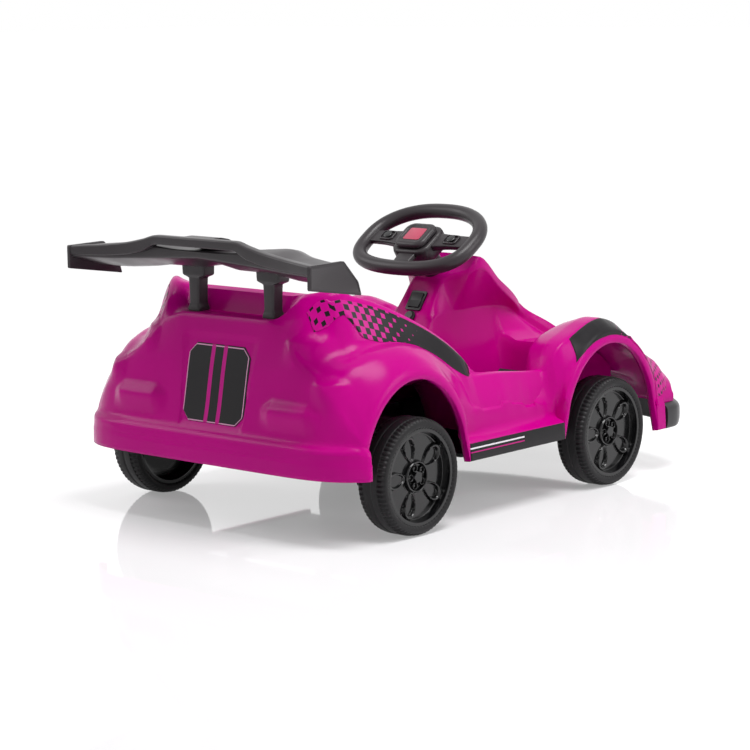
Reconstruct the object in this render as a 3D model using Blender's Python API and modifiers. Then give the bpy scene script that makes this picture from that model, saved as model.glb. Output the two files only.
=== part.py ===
"""Ride-on electric go-kart for a small child, modelled piece by piece.

Frame: +Z up, the nose points to -Y, the driver's left is +X, the floor is z = 0.
All sizes are in metres.
"""
import math

import bmesh
import bpy
import numpy as np
from mathutils import Matrix, Vector

# Running gear
WHEEL_R = 0.095
TYRE_WIDTH = 0.058
WHEEL_X = 0.280
WHEEL_STEPS = 30
FRONT_AXLE_Y = -0.217
REAR_AXLE_Y = 0.301
AXLE_R = 0.005
KINGPIN_X = 0.205
KINGPIN_R = 0.004

# Body shell
SHELL_T = 0.003
ARCH_FRONT = (FRONT_AXLE_Y, 0.130, 0.155)
ARCH_REAR = (REAR_AXLE_Y + 0.001, 0.1260, 0.156)
ARCH_END_ANGLE = math.radians(12.2)
SKIRT_FRONT_Y = -0.0845
SKIRT_REAR_Y = 0.1725
TAB_FRONT_Y = -0.3715
TAB_REAR_Y = -0.3480
TAIL_Y = 0.484
NOSE_Y = -0.488

# Steering
STEER_TILT = math.radians(33.2)
STEER_CENTRE = Vector((0.0, -0.0666, 0.4236))
STEER_RX = 0.1175
STEER_RY = 0.0840
STEER_TUBE_R = 0.0130
COLUMN_R = 0.0050
BOOT_R = 0.0203
CRANK_R = 0.042
CRANK_PIN = 0.022
BAR_Z = 0.1260
BAR_T = 0.0040
BAR_Y = -0.3102

# Dash slope: top point and unit direction down the slope
DASH_TOP = Vector((0.0, -0.083, 0.355))
DASH_DOWN = Vector((0.0, 0.5873, -0.8093)).normalized()
DASH_OUT = Vector((0.0, 0.8093, 0.5873)).normalized()

# Wing
WING_SPAN = 0.272
WING_REAR_Y = 0.516
POST_X = 0.084
POST_Y = 0.396

GAP = 0.0003

PARTS = "electric_kart"
CUTTERS = "cutters"


# Scene set-up

def clear_scene():
    for item in list(bpy.data.objects):
        bpy.data.objects.remove(item, do_unlink=True)
    for name in (PARTS, CUTTERS):
        old = bpy.data.collections.get(name)
        if old:
            bpy.data.collections.remove(old)
        bpy.context.scene.collection.children.link(bpy.data.collections.new(name))


def srgb(hex_value):
    """Linear colour of a six digit sRGB hex value."""
    out = []
    for shift in (16, 8, 0):
        c = ((hex_value >> shift) & 255) / 255.0
        out.append(c / 12.92 if c <= 0.04045 else ((c + 0.055) / 1.055) ** 2.4)
    return out + [1.0]


def material(name, hex_value, roughness, metallic=0.0):
    mat = bpy.data.materials.new(name)
    mat.use_nodes = True
    shader = mat.node_tree.nodes["Principled BSDF"]
    shader.inputs["Base Color"].default_value = srgb(hex_value)
    shader.inputs["Roughness"].default_value = roughness
    shader.inputs["Metallic"].default_value = metallic
    return mat


FINISHES = {
    "body_pink": (0xD0049A, 0.22, 0.0),
    "grey_plastic": (0x4A4648, 0.45, 0.0),
    "bumper_black": (0x2E2D2E, 0.50, 0.0),
    "rim_black": (0x121214, 0.18, 0.0),
    "tyre_black": (0x232325, 0.60, 0.0),
    "frame_black": (0x1A1A1B, 0.55, 0.0),
    "switch_black": (0x101011, 0.30, 0.0),
    "badge_rose": (0xC8506E, 0.35, 0.0),
    "steel": (0xB8B9BB, 0.30, 1.0),
    "battery_case": (0x2A2F3A, 0.50, 0.0),
    "foot_rubber": (0x1F1F20, 0.75, 0.0),
}


# Shape helpers

def link(obj, finish, collection=PARTS):
    bpy.data.collections[collection].objects.link(obj)
    if finish:
        obj.data.materials.append(material(obj.name + "_finish", *FINISHES[finish]))
    return obj


def mesh_object(name, verts, faces, finish=None, collection=PARTS):
    mesh = bpy.data.meshes.new(name)
    mesh.from_pydata([tuple(v) for v in verts], [], [tuple(f) for f in faces])
    mesh.validate()
    return link(bpy.data.objects.new(name, mesh), finish, collection)


def bmesh_object(name, bm, finish=None, collection=PARTS):
    bmesh.ops.recalc_face_normals(bm, faces=bm.faces)
    mesh = bpy.data.meshes.new(name)
    bm.to_mesh(mesh)
    bm.free()
    return link(bpy.data.objects.new(name, mesh), finish, collection)


def smooth(obj, angle=35):
    obj.data.shade_smooth()
    obj.data.set_sharp_from_angle(angle=math.radians(angle))
    return obj


def bevel(obj, width, segments=2, angle=30):
    mod = obj.modifiers.new("bevel", "BEVEL")
    mod.width = width
    mod.segments = segments
    mod.limit_method = "ANGLE"
    mod.angle_limit = math.radians(angle)
    return obj


def boolean(obj, other, operation="DIFFERENCE"):
    mod = obj.modifiers.new(operation.lower(), "BOOLEAN")
    mod.operation = operation
    mod.solver = "EXACT"
    mod.object = other
    return obj


def as_cutter(obj):
    obj.hide_render = True
    obj.display_type = "WIRE"
    return obj


def box(name, low, high, finish=None, collection=PARTS, matrix=None):
    """A box between two corners, made of a unit cube, optionally placed by a matrix."""
    bm = bmesh.new()
    bmesh.ops.create_cube(bm, size=1.0)
    low, high = Vector(low), Vector(high)
    size, mid = high - low, (high + low) / 2
    for v in bm.verts:
        v.co = Vector(v.co[i] * size[i] + mid[i] for i in range(3))
    obj = bmesh_object(name, bm, finish, collection)
    if matrix is not None:
        obj.matrix_world = matrix
    return obj


def rod(name, start, end, radius, finish=None, collection=PARTS, segments=16, radius_end=None):
    """A round bar or cone from start to end."""
    start, end = Vector(start), Vector(end)
    bm = bmesh.new()
    bmesh.ops.create_cone(bm, cap_ends=True, segments=segments, radius1=radius,
                          radius2=radius if radius_end is None else radius_end,
                          depth=(end - start).length)
    obj = bmesh_object(name, bm, finish, collection)
    turn = Vector((0, 0, 1)).rotation_difference(end - start).to_matrix().to_4x4()
    obj.matrix_world = Matrix.Translation((start + end) / 2) @ turn
    return smooth(obj)


def turned(name, profile, steps, finish=None, collection=PARTS):
    """A ring turned about local Z from a closed (radius, z) outline."""
    area = sum(a[0] * b[1] - b[0] * a[1] for a, b in zip(profile, profile[1:] + profile[:1]))
    if area > 0:
        profile = profile[::-1]
    mesh = bpy.data.meshes.new(name)
    count = len(profile)
    mesh.from_pydata([(r, 0.0, z) for r, z in profile],
                     [(i, (i + 1) % count) for i in range(count)], [])
    obj = link(bpy.data.objects.new(name, mesh), finish, collection)
    mod = obj.modifiers.new("turn", "SCREW")
    mod.axis = "Z"
    mod.steps = mod.render_steps = steps
    mod.use_merge_vertices = True
    mod.merge_threshold = 0.00001
    mod.use_smooth_shade = True
    return obj


def slab(name, outline, z_low, z_high, finish=None, collection=PARTS, holes=()):
    """A flat outline in local XY, filled and given a thickness along local Z."""
    curve = bpy.data.curves.new(name, "CURVE")
    curve.dimensions = "2D"
    curve.fill_mode = "BOTH"
    curve.extrude = (z_high - z_low) / 2
    for loop in (outline, *holes):
        spline = curve.splines.new("POLY")
        spline.points.add(len(loop) - 1)
        for point, (x, y) in zip(spline.points, loop):
            point.co = (x, y, 0.0, 1.0)
        spline.use_cyclic_u = True
    source = bpy.data.objects.new(name + "_outline", curve)
    bpy.context.scene.collection.objects.link(source)
    obj = meshed(source, name, finish, collection)
    for v in obj.data.vertices:
        v.co.z += (z_low + z_high) / 2
    return obj


def meshed(source, name, finish=None, collection=PARTS):
    """A mesh object made from a curve or a turned outline, with its caps welded."""
    bpy.context.view_layer.update()
    evaluated = source.evaluated_get(bpy.context.evaluated_depsgraph_get())
    mesh = bpy.data.meshes.new_from_object(evaluated)
    place = source.matrix_world.copy()
    bpy.data.objects.remove(source, do_unlink=True)
    bm = bmesh.new()
    bm.from_mesh(mesh)
    bmesh.ops.remove_doubles(bm, verts=bm.verts, dist=0.00001)
    bmesh.ops.recalc_face_normals(bm, faces=bm.faces)
    bm.to_mesh(mesh)
    bm.free()
    mesh.materials.clear()
    mesh.name = name
    obj = link(bpy.data.objects.new(name, mesh), finish, collection)
    obj.matrix_world = place
    return obj


def tube(name, points, radius, finish=None, cyclic=False, sides=2, collection=PARTS):
    """A round tube along points."""
    curve = bpy.data.curves.new(name, "CURVE")
    curve.dimensions = "3D"
    curve.bevel_depth = radius
    curve.bevel_resolution = sides
    curve.use_fill_caps = not cyclic
    spline = curve.splines.new("POLY")
    spline.points.add(len(points) - 1)
    for point, co in zip(spline.points, points):
        point.co = (*co, 1.0)
    spline.use_cyclic_u = cyclic
    source = bpy.data.objects.new(name + "_path", curve)
    bpy.context.scene.collection.objects.link(source)
    return smooth(meshed(source, name, finish, collection))


def arc(cx, cy, r, start, end, count):
    """Points on a round corner, angles in degrees."""
    return [(cx + r * math.cos(math.radians(start + (end - start) * i / (count - 1))),
             cy + r * math.sin(math.radians(start + (end - start) * i / (count - 1))))
            for i in range(count)]


def rounded_rect(cx, cy, width, height, r, count=4):
    x, y = width / 2 - r, height / 2 - r
    return (arc(cx + x, cy + y, r, 0, 90, count) + arc(cx - x, cy + y, r, 90, 180, count)
            + arc(cx - x, cy - y, r, 180, 270, count) + arc(cx + x, cy - y, r, 270, 360, count))


def joint_empty(name, place, parent=None):
    empty = bpy.data.objects.new(name, None)
    empty.empty_display_size = 0.03
    bpy.data.collections[PARTS].objects.link(empty)
    empty.location = place
    if parent:
        empty.parent = parent
        bpy.context.view_layer.update()
        empty.matrix_parent_inverse = parent.matrix_world.inverted()
    return empty


def carry(parent, *children):
    """Parent pieces to an empty without moving them."""
    bpy.context.view_layer.update()
    for child in children:
        place = child.matrix_world.copy()
        child.parent = parent
        child.matrix_parent_inverse = parent.matrix_world.inverted()
        child.matrix_world = place


# Body shell: a loft of feature lines

def monotone(knots_u, knots_v, u):
    """Monotone cubic through knots, so a line never overshoots its own points."""
    knots_u, knots_v, u = map(np.asarray, (knots_u, knots_v, u))
    h = np.diff(knots_u)
    slope = np.diff(knots_v) / h
    m = np.zeros(len(knots_u))
    same = slope[:-1] * slope[1:] > 0
    w1, w2 = 2 * h[1:] + h[:-1], h[1:] + 2 * h[:-1]
    safe = np.where(same, slope[:-1], 1.0), np.where(same, slope[1:], 1.0)
    m[1:-1] = np.where(same, (w1 + w2) / (w1 / safe[0] + w2 / safe[1]), 0.0)
    m[0], m[-1] = slope[0], slope[-1]
    i = np.clip(np.searchsorted(knots_u, u, side="right") - 1, 0, len(h) - 1)
    t = (u - knots_u[i]) / h[i]
    return ((2 * t**3 - 3 * t**2 + 1) * knots_v[i] + (t**3 - 2 * t**2 + t) * h[i] * m[i]
            + (-2 * t**3 + 3 * t**2) * knots_v[i + 1] + (t**3 - t**2) * h[i] * m[i + 1])


# Each feature line runs from the nose to the tail: (station, x, z).
# The stations are the y of the centre line; the outer lines wrap round nose and tail.
CENTRE = [(-0.488, 0, 0.110), (-0.469, 0, 0.149), (-0.432, 0, 0.189), (-0.399, 0, 0.215),
          (-0.340, 0, 0.258), (-0.2750, 0, 0.300), (-0.2690, 0, 0.308), (-0.201, 0, 0.351),
          (-0.133, 0, 0.397), (-0.113, 0, 0.376), (-0.083, 0, 0.355), (-0.070, 0, 0.3371), (-0.041, 0, 0.297),
          (-0.001, 0, 0.242), (0.043, 0, 0.197), (0.095, 0, 0.203), (0.180, 0, 0.199),
          (0.262, 0, 0.205), (0.300, 0, 0.250), (0.330, 0, 0.315), (0.350, 0, 0.368),
          (0.360, 0, 0.380), (0.372, 0, 0.376), (0.384, 0, 0.3425), (0.400, 0, 0.3425),
          (0.427, 0, 0.3425), (0.446, 0, 0.260), (0.458, 0, 0.195), (0.466, 0, 0.163),
          (0.474, 0, 0.157), (0.4795, 0, 0.150), (0.4810, 0, 0.108)]
HOOD_EDGE = [(-0.488, 0.130, 0.110), (-0.469, 0.130, 0.147), (-0.432, 0.125, 0.185),
             (-0.399, 0.110, 0.211), (-0.340, 0.080, 0.254), (-0.2750, 0.056, 0.298),
             (-0.2690, 0.057, 0.305), (-0.201, 0.070, 0.348), (-0.133, 0.076, 0.394),
             (-0.113, 0.070, 0.374), (-0.083, 0.030, 0.354), (-0.070, 0.029, 0.337), (-0.041, 0.028, 0.297),
             (-0.001, 0.028, 0.242), (0.043, 0.035, 0.197), (0.095, 0.050, 0.203),
             (0.180, 0.055, 0.200), (0.262, 0.055, 0.206), (0.300, 0.055, 0.250),
             (0.330, 0.055, 0.315), (0.350, 0.055, 0.368), (0.360, 0.055, 0.380),
             (0.372, 0.055, 0.376), (0.384, 0.055, 0.3425), (0.400, 0.055, 0.3425),
             (0.427, 0.050, 0.3425), (0.446, 0.045, 0.260), (0.458, 0.042, 0.195),
             (0.466, 0.043, 0.163), (0.474, 0.045, 0.157), (0.4795, 0.045, 0.150), (0.4810, 0.045, 0.108)]
RIDGE_FOOT = [(-0.488, 0.152, 0.111), (-0.469, 0.152, 0.143), (-0.432, 0.142, 0.175),
              (-0.399, 0.118, 0.196), (-0.340, 0.086, 0.238), (-0.2750, 0.059, 0.284),
              (-0.2690, 0.061, 0.288), (-0.201, 0.073, 0.330), (-0.133, 0.079, 0.374),
              (-0.113, 0.072, 0.364), (-0.083, 0.036, 0.349), (-0.070, 0.036, 0.334), (-0.041, 0.036, 0.297),
              (-0.001, 0.037, 0.241), (0.043, 0.055, 0.194), (0.095, 0.095, 0.204),
              (0.180, 0.100, 0.202), (0.262, 0.100, 0.208), (0.300, 0.098, 0.251),
              (0.330, 0.097, 0.315), (0.350, 0.096, 0.368), (0.360, 0.096, 0.380),
              (0.372, 0.099, 0.376), (0.384, 0.099, 0.3425), (0.400, 0.099, 0.3425),
              (0.427, 0.095, 0.3425), (0.446, 0.082, 0.260), (0.458, 0.072, 0.195),
              (0.466, 0.072, 0.163), (0.474, 0.075, 0.157), (0.4795, 0.075, 0.150), (0.4810, 0.075, 0.108)]
CREASE = [(-0.488, 0.172, 0.112), (-0.469, 0.172, 0.140), (-0.432, 0.158, 0.167),
          (-0.399, 0.128, 0.186), (-0.340, 0.088, 0.222), (-0.2750, 0.056, 0.270),
          (-0.250, 0.050, 0.290), (-0.201, 0.050, 0.298), (-0.133, 0.050, 0.299),
          (-0.083, 0.050, 0.299), (-0.041, 0.049, 0.292), (-0.001, 0.050, 0.238),
          (0.043, 0.075, 0.190), (0.095, 0.130, 0.206), (0.180, 0.135, 0.207),
          (0.262, 0.133, 0.214), (0.300, 0.128, 0.254), (0.330, 0.126, 0.316),
          (0.350, 0.124, 0.368), (0.360, 0.120, 0.380), (0.372, 0.112, 0.378),
          (0.384, 0.106, 0.354), (0.400, 0.105, 0.347), (0.427, 0.101, 0.341),
          (0.446, 0.098, 0.262), (0.458, 0.096, 0.196), (0.466, 0.100, 0.163),
          (0.474, 0.105, 0.157), (0.4795, 0.105, 0.150), (0.4810, 0.105, 0.108)]
WALL = [(-0.488, 0.190, 0.113), (-0.469, 0.190, 0.138), (-0.432, 0.175, 0.161),
        (-0.399, 0.142, 0.177), (-0.340, 0.102, 0.213), (-0.2750, 0.074, 0.250),
        (-0.218, 0.064, 0.250), (-0.198, 0.060, 0.226), (-0.133, 0.060, 0.222),
        (-0.083, 0.061, 0.221), (-0.041, 0.062, 0.221), (-0.001, 0.064, 0.220),
        (0.043, 0.090, 0.172), (0.066, 0.120, 0.172), (0.095, 0.155, 0.214),
        (0.180, 0.158, 0.220), (0.262, 0.153, 0.228), (0.300, 0.147, 0.262),
        (0.330, 0.143, 0.320), (0.350, 0.141, 0.369), (0.360, 0.136, 0.381),
        (0.372, 0.127, 0.381), (0.384, 0.119, 0.370), (0.400, 0.115, 0.357),
        (0.427, 0.112, 0.336), (0.446, 0.112, 0.264), (0.458, 0.122, 0.197),
        (0.466, 0.128, 0.163), (0.474, 0.135, 0.157), (0.4795, 0.135, 0.150), (0.4810, 0.135, 0.108)]
FOOT = [(-0.488, 0.206, 0.114), (-0.469, 0.206, 0.137), (-0.432, 0.190, 0.157),
        (-0.399, 0.162, 0.171), (-0.340, 0.128, 0.209), (-0.2750, 0.103, 0.236),
        (-0.218, 0.096, 0.236), (-0.198, 0.082, 0.126), (-0.133, 0.080, 0.126),
        (-0.041, 0.080, 0.126), (-0.001, 0.083, 0.126), (0.043, 0.105, 0.126),
        (0.066, 0.140, 0.128), (0.095, 0.176, 0.226), (0.180, 0.180, 0.258),
        (0.262, 0.172, 0.276), (0.300, 0.164, 0.302), (0.330, 0.157, 0.338),
        (0.350, 0.154, 0.374), (0.360, 0.148, 0.383), (0.372, 0.138, 0.383),
        (0.384, 0.130, 0.379), (0.400, 0.126, 0.364), (0.427, 0.122, 0.331),
        (0.446, 0.127, 0.266), (0.458, 0.150, 0.197), (0.466, 0.157, 0.163),
        (0.474, 0.165, 0.157), (0.4795, 0.165, 0.150), (0.4810, 0.165, 0.108)]
VALLEY = [(-0.488, 0.221, 0.115), (-0.469, 0.221, 0.138), (-0.432, 0.208, 0.157),
          (-0.399, 0.187, 0.171), (-0.340, 0.168, 0.209), (-0.2750, 0.156, 0.238),
          (-0.218, 0.152, 0.238), (-0.198, 0.150, 0.126), (-0.133, 0.160, 0.126),
          (-0.041, 0.186, 0.126), (0.043, 0.200, 0.126), (0.066, 0.200, 0.128),
          (0.095, 0.204, 0.226), (0.126, 0.206, 0.250), (0.180, 0.203, 0.288),
          (0.262, 0.190, 0.327), (0.300, 0.182, 0.345), (0.330, 0.174, 0.362),
          (0.350, 0.168, 0.380), (0.360, 0.162, 0.386), (0.372, 0.152, 0.385),
          (0.384, 0.142, 0.383), (0.400, 0.138, 0.367), (0.427, 0.133, 0.327),
          (0.446, 0.145, 0.267), (0.458, 0.178, 0.197), (0.466, 0.186, 0.163),
          (0.474, 0.195, 0.157), (0.4795, 0.195, 0.150), (0.4810, 0.195, 0.108)]
INNER_WALL = [(-0.488, 0.236, 0.117), (-0.469, 0.236, 0.141), (-0.432, 0.225, 0.161),
              (-0.399, 0.212, 0.176), (-0.340, 0.197, 0.213), (-0.2750, 0.190, 0.242),
              (-0.218, 0.187, 0.248), (-0.198, 0.184, 0.140), (-0.133, 0.187, 0.140),
              (-0.083, 0.200, 0.140), (-0.041, 0.213, 0.140), (0.043, 0.222, 0.142),
              (0.066, 0.224, 0.144), (0.095, 0.229, 0.226), (0.126, 0.225, 0.265),
              (0.180, 0.219, 0.303), (0.262, 0.202, 0.349), (0.300, 0.193, 0.366),
              (0.330, 0.184, 0.377), (0.350, 0.177, 0.387), (0.360, 0.172, 0.390),
              (0.372, 0.164, 0.388), (0.384, 0.155, 0.382), (0.400, 0.150, 0.364),
              (0.427, 0.144, 0.322), (0.446, 0.163, 0.266), (0.458, 0.200, 0.197),
              (0.466, 0.210, 0.163), (0.474, 0.220, 0.157), (0.4795, 0.221, 0.150),
              (0.4810, 0.221, 0.108)]
SHOULDER = [(-0.488, 0.250, 0.119), (-0.469, 0.250, 0.146), (-0.432, 0.243, 0.168),
            (-0.399, 0.236, 0.187), (-0.340, 0.226, 0.222), (-0.2750, 0.216, 0.260),
            (-0.218, 0.209, 0.280), (-0.150, 0.207, 0.268), (-0.103, 0.212, 0.248),
            (-0.083, 0.226, 0.226), (-0.070, 0.238, 0.213), (-0.041, 0.242, 0.215),
            (0.043, 0.243, 0.224), (0.095, 0.241, 0.2315), (0.126, 0.237, 0.270),
            (0.180, 0.230, 0.309), (0.262, 0.212, 0.354), (0.300, 0.202, 0.370),
            (0.330, 0.193, 0.380), (0.350, 0.188, 0.387), (0.360, 0.184, 0.388),
            (0.372, 0.177, 0.384), (0.384, 0.168, 0.376), (0.400, 0.160, 0.356),
            (0.427, 0.153, 0.315), (0.446, 0.181, 0.265), (0.458, 0.220, 0.198),
            (0.466, 0.231, 0.163), (0.474, 0.243, 0.157), (0.4795, 0.245, 0.150),
            (0.4810, 0.245, 0.108)]
CROWN_IN = [(-0.488, 0.265, 0.122), (-0.469, 0.265, 0.152), (-0.432, 0.260, 0.173),
            (-0.399, 0.256, 0.192), (-0.357, 0.252, 0.213), (-0.289, 0.250, 0.256),
            (-0.241, 0.250, 0.285), (-0.210, 0.250, 0.293), (-0.187, 0.250, 0.290),
            (-0.153, 0.250, 0.279), (-0.103, 0.250, 0.260), (-0.083, 0.252, 0.239),
            (-0.070, 0.255, 0.218), (0.043, 0.256, 0.2285), (0.095, 0.252, 0.2335),
            (0.126, 0.247, 0.262), (0.180, 0.241, 0.300), (0.262, 0.222, 0.343),
            (0.300, 0.212, 0.358), (0.330, 0.204, 0.366), (0.350, 0.198, 0.370),
            (0.360, 0.195, 0.370), (0.372, 0.189, 0.363), (0.384, 0.181, 0.350),
            (0.400, 0.171, 0.332), (0.427, 0.166, 0.297), (0.446, 0.199, 0.262),
            (0.458, 0.237, 0.198), (0.466, 0.250, 0.163), (0.474, 0.262, 0.157),
            (0.4795, 0.265, 0.150), (0.4810, 0.266, 0.108)]
EDGE = [(-0.488, 0.279, 0.128), (-0.469, 0.280, 0.157), (-0.432, 0.280, 0.175),
        (-0.399, 0.280, 0.190), (-0.357, 0.280, 0.210), (-0.289, 0.280, 0.256),
        (-0.241, 0.280, 0.286), (-0.210, 0.280, 0.293), (-0.187, 0.280, 0.290),
        (-0.153, 0.280, 0.279), (-0.103, 0.278, 0.258), (-0.083, 0.273, 0.238),
        (-0.070, 0.267, 0.218), (0.043, 0.267, 0.2265), (0.126, 0.264, 0.230),
        (0.150, 0.257, 0.242), (0.198, 0.246, 0.274), (0.245, 0.239, 0.294),
        (0.296, 0.234, 0.302), (0.347, 0.228, 0.300), (0.372, 0.220, 0.296), (0.384, 0.213, 0.292),
        (0.400, 0.203, 0.287), (0.427, 0.198, 0.277), (0.446, 0.218, 0.258),
        (0.458, 0.252, 0.199), (0.466, 0.266, 0.163), (0.474, 0.279, 0.157), (0.4795, 0.282, 0.150),
        (0.4810, 0.284, 0.108)]
CROWN = [(-0.488, 0.288, 0.130), (-0.469, 0.288, 0.155), (-0.432, 0.289, 0.170),
         (-0.399, 0.289, 0.181), (-0.357, 0.290, 0.198), (-0.289, 0.292, 0.246),
         (-0.241, 0.294, 0.276), (-0.210, 0.294, 0.283), (-0.187, 0.294, 0.280),
         (-0.153, 0.292, 0.267), (-0.103, 0.287, 0.237), (-0.083, 0.280, 0.214),
         (-0.070, 0.2695, 0.196), (-0.038, 0.2710, 0.169), (0.033, 0.2740, 0.177),
         (0.126, 0.273, 0.182), (0.150, 0.268, 0.222), (0.198, 0.266, 0.266), (0.245, 0.263, 0.292),
         (0.296, 0.259, 0.302), (0.347, 0.257, 0.297), (0.384, 0.255, 0.285),
         (0.400, 0.252, 0.279), (0.427, 0.247, 0.262), (0.446, 0.253, 0.232),
         (0.458, 0.270, 0.194), (0.466, 0.280, 0.163), (0.474, 0.289, 0.157), (0.4795, 0.292, 0.150),
         (0.4810, 0.294, 0.108)]
FACE = [(-0.488, 0.295, 0.131), (-0.469, 0.295, 0.150), (-0.432, 0.297, 0.158),
        (-0.399, 0.298, 0.164), (-0.357, 0.299, 0.180), (-0.325, 0.301, 0.209),
        (-0.289, 0.302, 0.240), (-0.241, 0.303, 0.269), (-0.210, 0.303, 0.273),
        (-0.187, 0.303, 0.270), (-0.153, 0.301, 0.256), (-0.110, 0.295, 0.219),
        (-0.083, 0.286, 0.180), (-0.070, 0.277, 0.161), (-0.038, 0.277, 0.165), (0.033, 0.277, 0.173),
        (0.126, 0.278, 0.178), (0.160, 0.281, 0.190), (0.198, 0.285, 0.232),
        (0.245, 0.287, 0.269), (0.296, 0.286, 0.286), (0.347, 0.285, 0.277),
        (0.384, 0.282, 0.259), (0.400, 0.280, 0.248), (0.427, 0.277, 0.227),
        (0.446, 0.278, 0.204), (0.458, 0.285, 0.184), (0.466, 0.291, 0.162), (0.474, 0.297, 0.157),
        (0.4795, 0.301, 0.150), (0.4810, 0.303, 0.108)]
LINES = [CENTRE, HOOD_EDGE, RIDGE_FOOT, CREASE, WALL, FOOT, VALLEY, INNER_WALL, SHOULDER,
         CROWN_IN, EDGE, CROWN, FACE]

# How far the outer end of each station lags behind the centre line at the nose
NOSE_LAG = [(-0.488, 0.065), (-0.469, 0.051), (-0.432, 0.022), (-0.399, 0.011), (-0.3735, 0.0),
            (0.5, 0.0)]
TAIL_LAG = [(-0.5, 0.0), (0.384, 0.0), (0.427, 0.022), (0.458, 0.046), (0.4810, 0.055)]
TAIL_HALF_WIDTH = 0.313

# Stations: all the places where a section of the shell is cut
STATIONS = [-0.488, -0.469, -0.447, -0.420, -0.396, -0.3755, TAB_FRONT_Y, TAB_REAR_Y, -0.3460,
            -0.332, -0.305, -0.2750, -0.2690, -0.240, -0.218, -0.198, -0.165, -0.133, -0.113,
            -0.099, SKIRT_FRONT_Y, -0.070, -0.038, -0.001, 0.033, 0.066, 0.095, 0.126, 0.150,
            SKIRT_REAR_Y, 0.187, 0.220, 0.262, 0.300, 0.330, 0.350, 0.360, 0.372, 0.384, 0.400,
            0.427, 0.446, 0.458, 0.466, 0.474, 0.4795, 0.4810]


def line_points(line, u):
    """Interpolate one feature line at stations u: arrays x, y, z."""
    knots = np.array(line, float)
    x = monotone(knots[:, 0], knots[:, 1], u)
    z = monotone(knots[:, 0], knots[:, 2], u)
    lag = monotone(*zip(*NOSE_LAG), u) * (x / 0.28) ** 2
    wrap = monotone(*zip(*TAIL_LAG), u) * (x / TAIL_HALF_WIDTH) ** 8
    return x, u + lag - wrap, z


def arch_angle(u, centre, half):
    """Angle round a wheel arch at station u, held at the arch's ends."""
    return math.acos(max(-1.0, min(1.0, (u - centre) / half)))


# Lower edge of the shell in each zone: four points from the face to the turned-in flange
FENDER_FRONT_EDGE = [(0.300, 0.140), (0.302, 0.133), (0.301, 0.126), (0.288, 0.126)]
TAB_EDGE = [(0.303, 0.136), (0.309, 0.122), (0.3115, 0.079), (0.2985, 0.077)]
SKIRT_EDGE = [(0.281, 0.137), (0.3015, 0.130), (0.303, 0.100), (0.290, 0.099)]
LIP_EDGE = {0.474: [(0.302, 0.156), (0.306, 0.1545), (0.307, 0.152), (0.294, 0.152)],
            0.4795: [(0.305, 0.148), (0.309, 0.147), (0.310, 0.145), (0.297, 0.144)],
            0.4810: [(0.307, 0.108), (0.311, 0.108), (0.311, 0.1085), (0.298, 0.108)]}
LIP_EDGE_Y = {0.474: (0.4330, 0.4270, 0.4205, 0.4205), 0.4795: (0.4345, 0.4285, 0.4220, 0.4220),
              0.4810: (0.4345, 0.4290, 0.4225, 0.4225)}
ARCH_OFFSETS = [(0.016, 0.0025), (0.007, 0.0), (0.0, 0.001), (0.0, 0.014)]
TAIL_ARCH_ANGLE = {0.427: 33.0, 0.446: 28.0, 0.458: 24.5, 0.466: 23.0}


def edge_points(u):
    """The shell's lower edge at one station: arch, skirt, tab or lip."""
    if u in LIP_EDGE:
        return [(x, y, z) for (x, z), y in zip(LIP_EDGE[u], LIP_EDGE_Y[u])]
    if u < TAB_FRONT_Y:
        lag = float(monotone(*zip(*NOSE_LAG), u)) * 1.15
        return [(x, u + lag, z) for x, z in FENDER_FRONT_EDGE]
    if u <= TAB_REAR_Y:
        return [(x, u, z) for x, z in TAB_EDGE]
    if SKIRT_FRONT_Y <= u <= SKIRT_REAR_Y:
        return [(x, u, z) for x, z in SKIRT_EDGE]
    front = u < 0
    centre, half, high = ARCH_FRONT if front else ARCH_REAR
    edge_x = 0.305 if front else 0.302
    if u in TAIL_ARCH_ANGLE:
        angle = math.radians(TAIL_ARCH_ANGLE[u])
    else:
        angle = min(max(arch_angle(u, centre, half), ARCH_END_ANGLE), math.pi - ARCH_END_ANGLE)
    return [(edge_x - inset, centre + (half + out) * math.cos(angle),
             WHEEL_R + (high + out) * math.sin(angle)) for out, inset in ARCH_OFFSETS]


def shell_grid():
    """Half of the shell's outer surface as rows of points, nose to tail."""
    u = np.array(STATIONS)
    columns = [np.stack(line_points(line, u), axis=1) for line in LINES]
    rows = np.stack(columns, axis=1)
    edges = np.array([edge_points(s) for s in STATIONS])
    return np.concatenate([rows, edges], axis=1)


def body_shell():
    grid = shell_grid()
    count, width = grid.shape[:2]
    verts = grid.reshape(-1, 3)
    faces = [(i * width + j, (i + 1) * width + j, (i + 1) * width + j + 1, i * width + j + 1)
             for i in range(count - 1) for j in range(width - 1)]
    shell = mesh_object("body_shell", verts, [f[::-1] for f in faces], "body_pink")
    mirror = shell.modifiers.new("mirror", "MIRROR")
    mirror.use_clip = True
    mirror.merge_threshold = 0.0001
    wall = shell.modifiers.new("wall", "SOLIDIFY")
    wall.thickness = SHELL_T
    wall.offset = -1
    along = steer_point(0.0, 0.0, 0.0) - steer_point(0.0, 0.0, 1.0)
    start = STEER_CENTRE + along * 0.035
    hole = rod("column_hole", start, start + along * 0.075, BOOT_R + 0.0008, collection=CUTTERS,
               segments=24)
    boolean(shell, as_cutter(hole))
    return smooth(shell, 30)


# Steering frame: local Z points at the driver, local Y to the wheel's lower edge

def steer_matrix():
    return Matrix.Translation(STEER_CENTRE) @ Matrix.Rotation(-STEER_TILT, 4, "X")


def steer_point(x, y, z):
    return steer_matrix() @ Vector((x, y, z))


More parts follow.
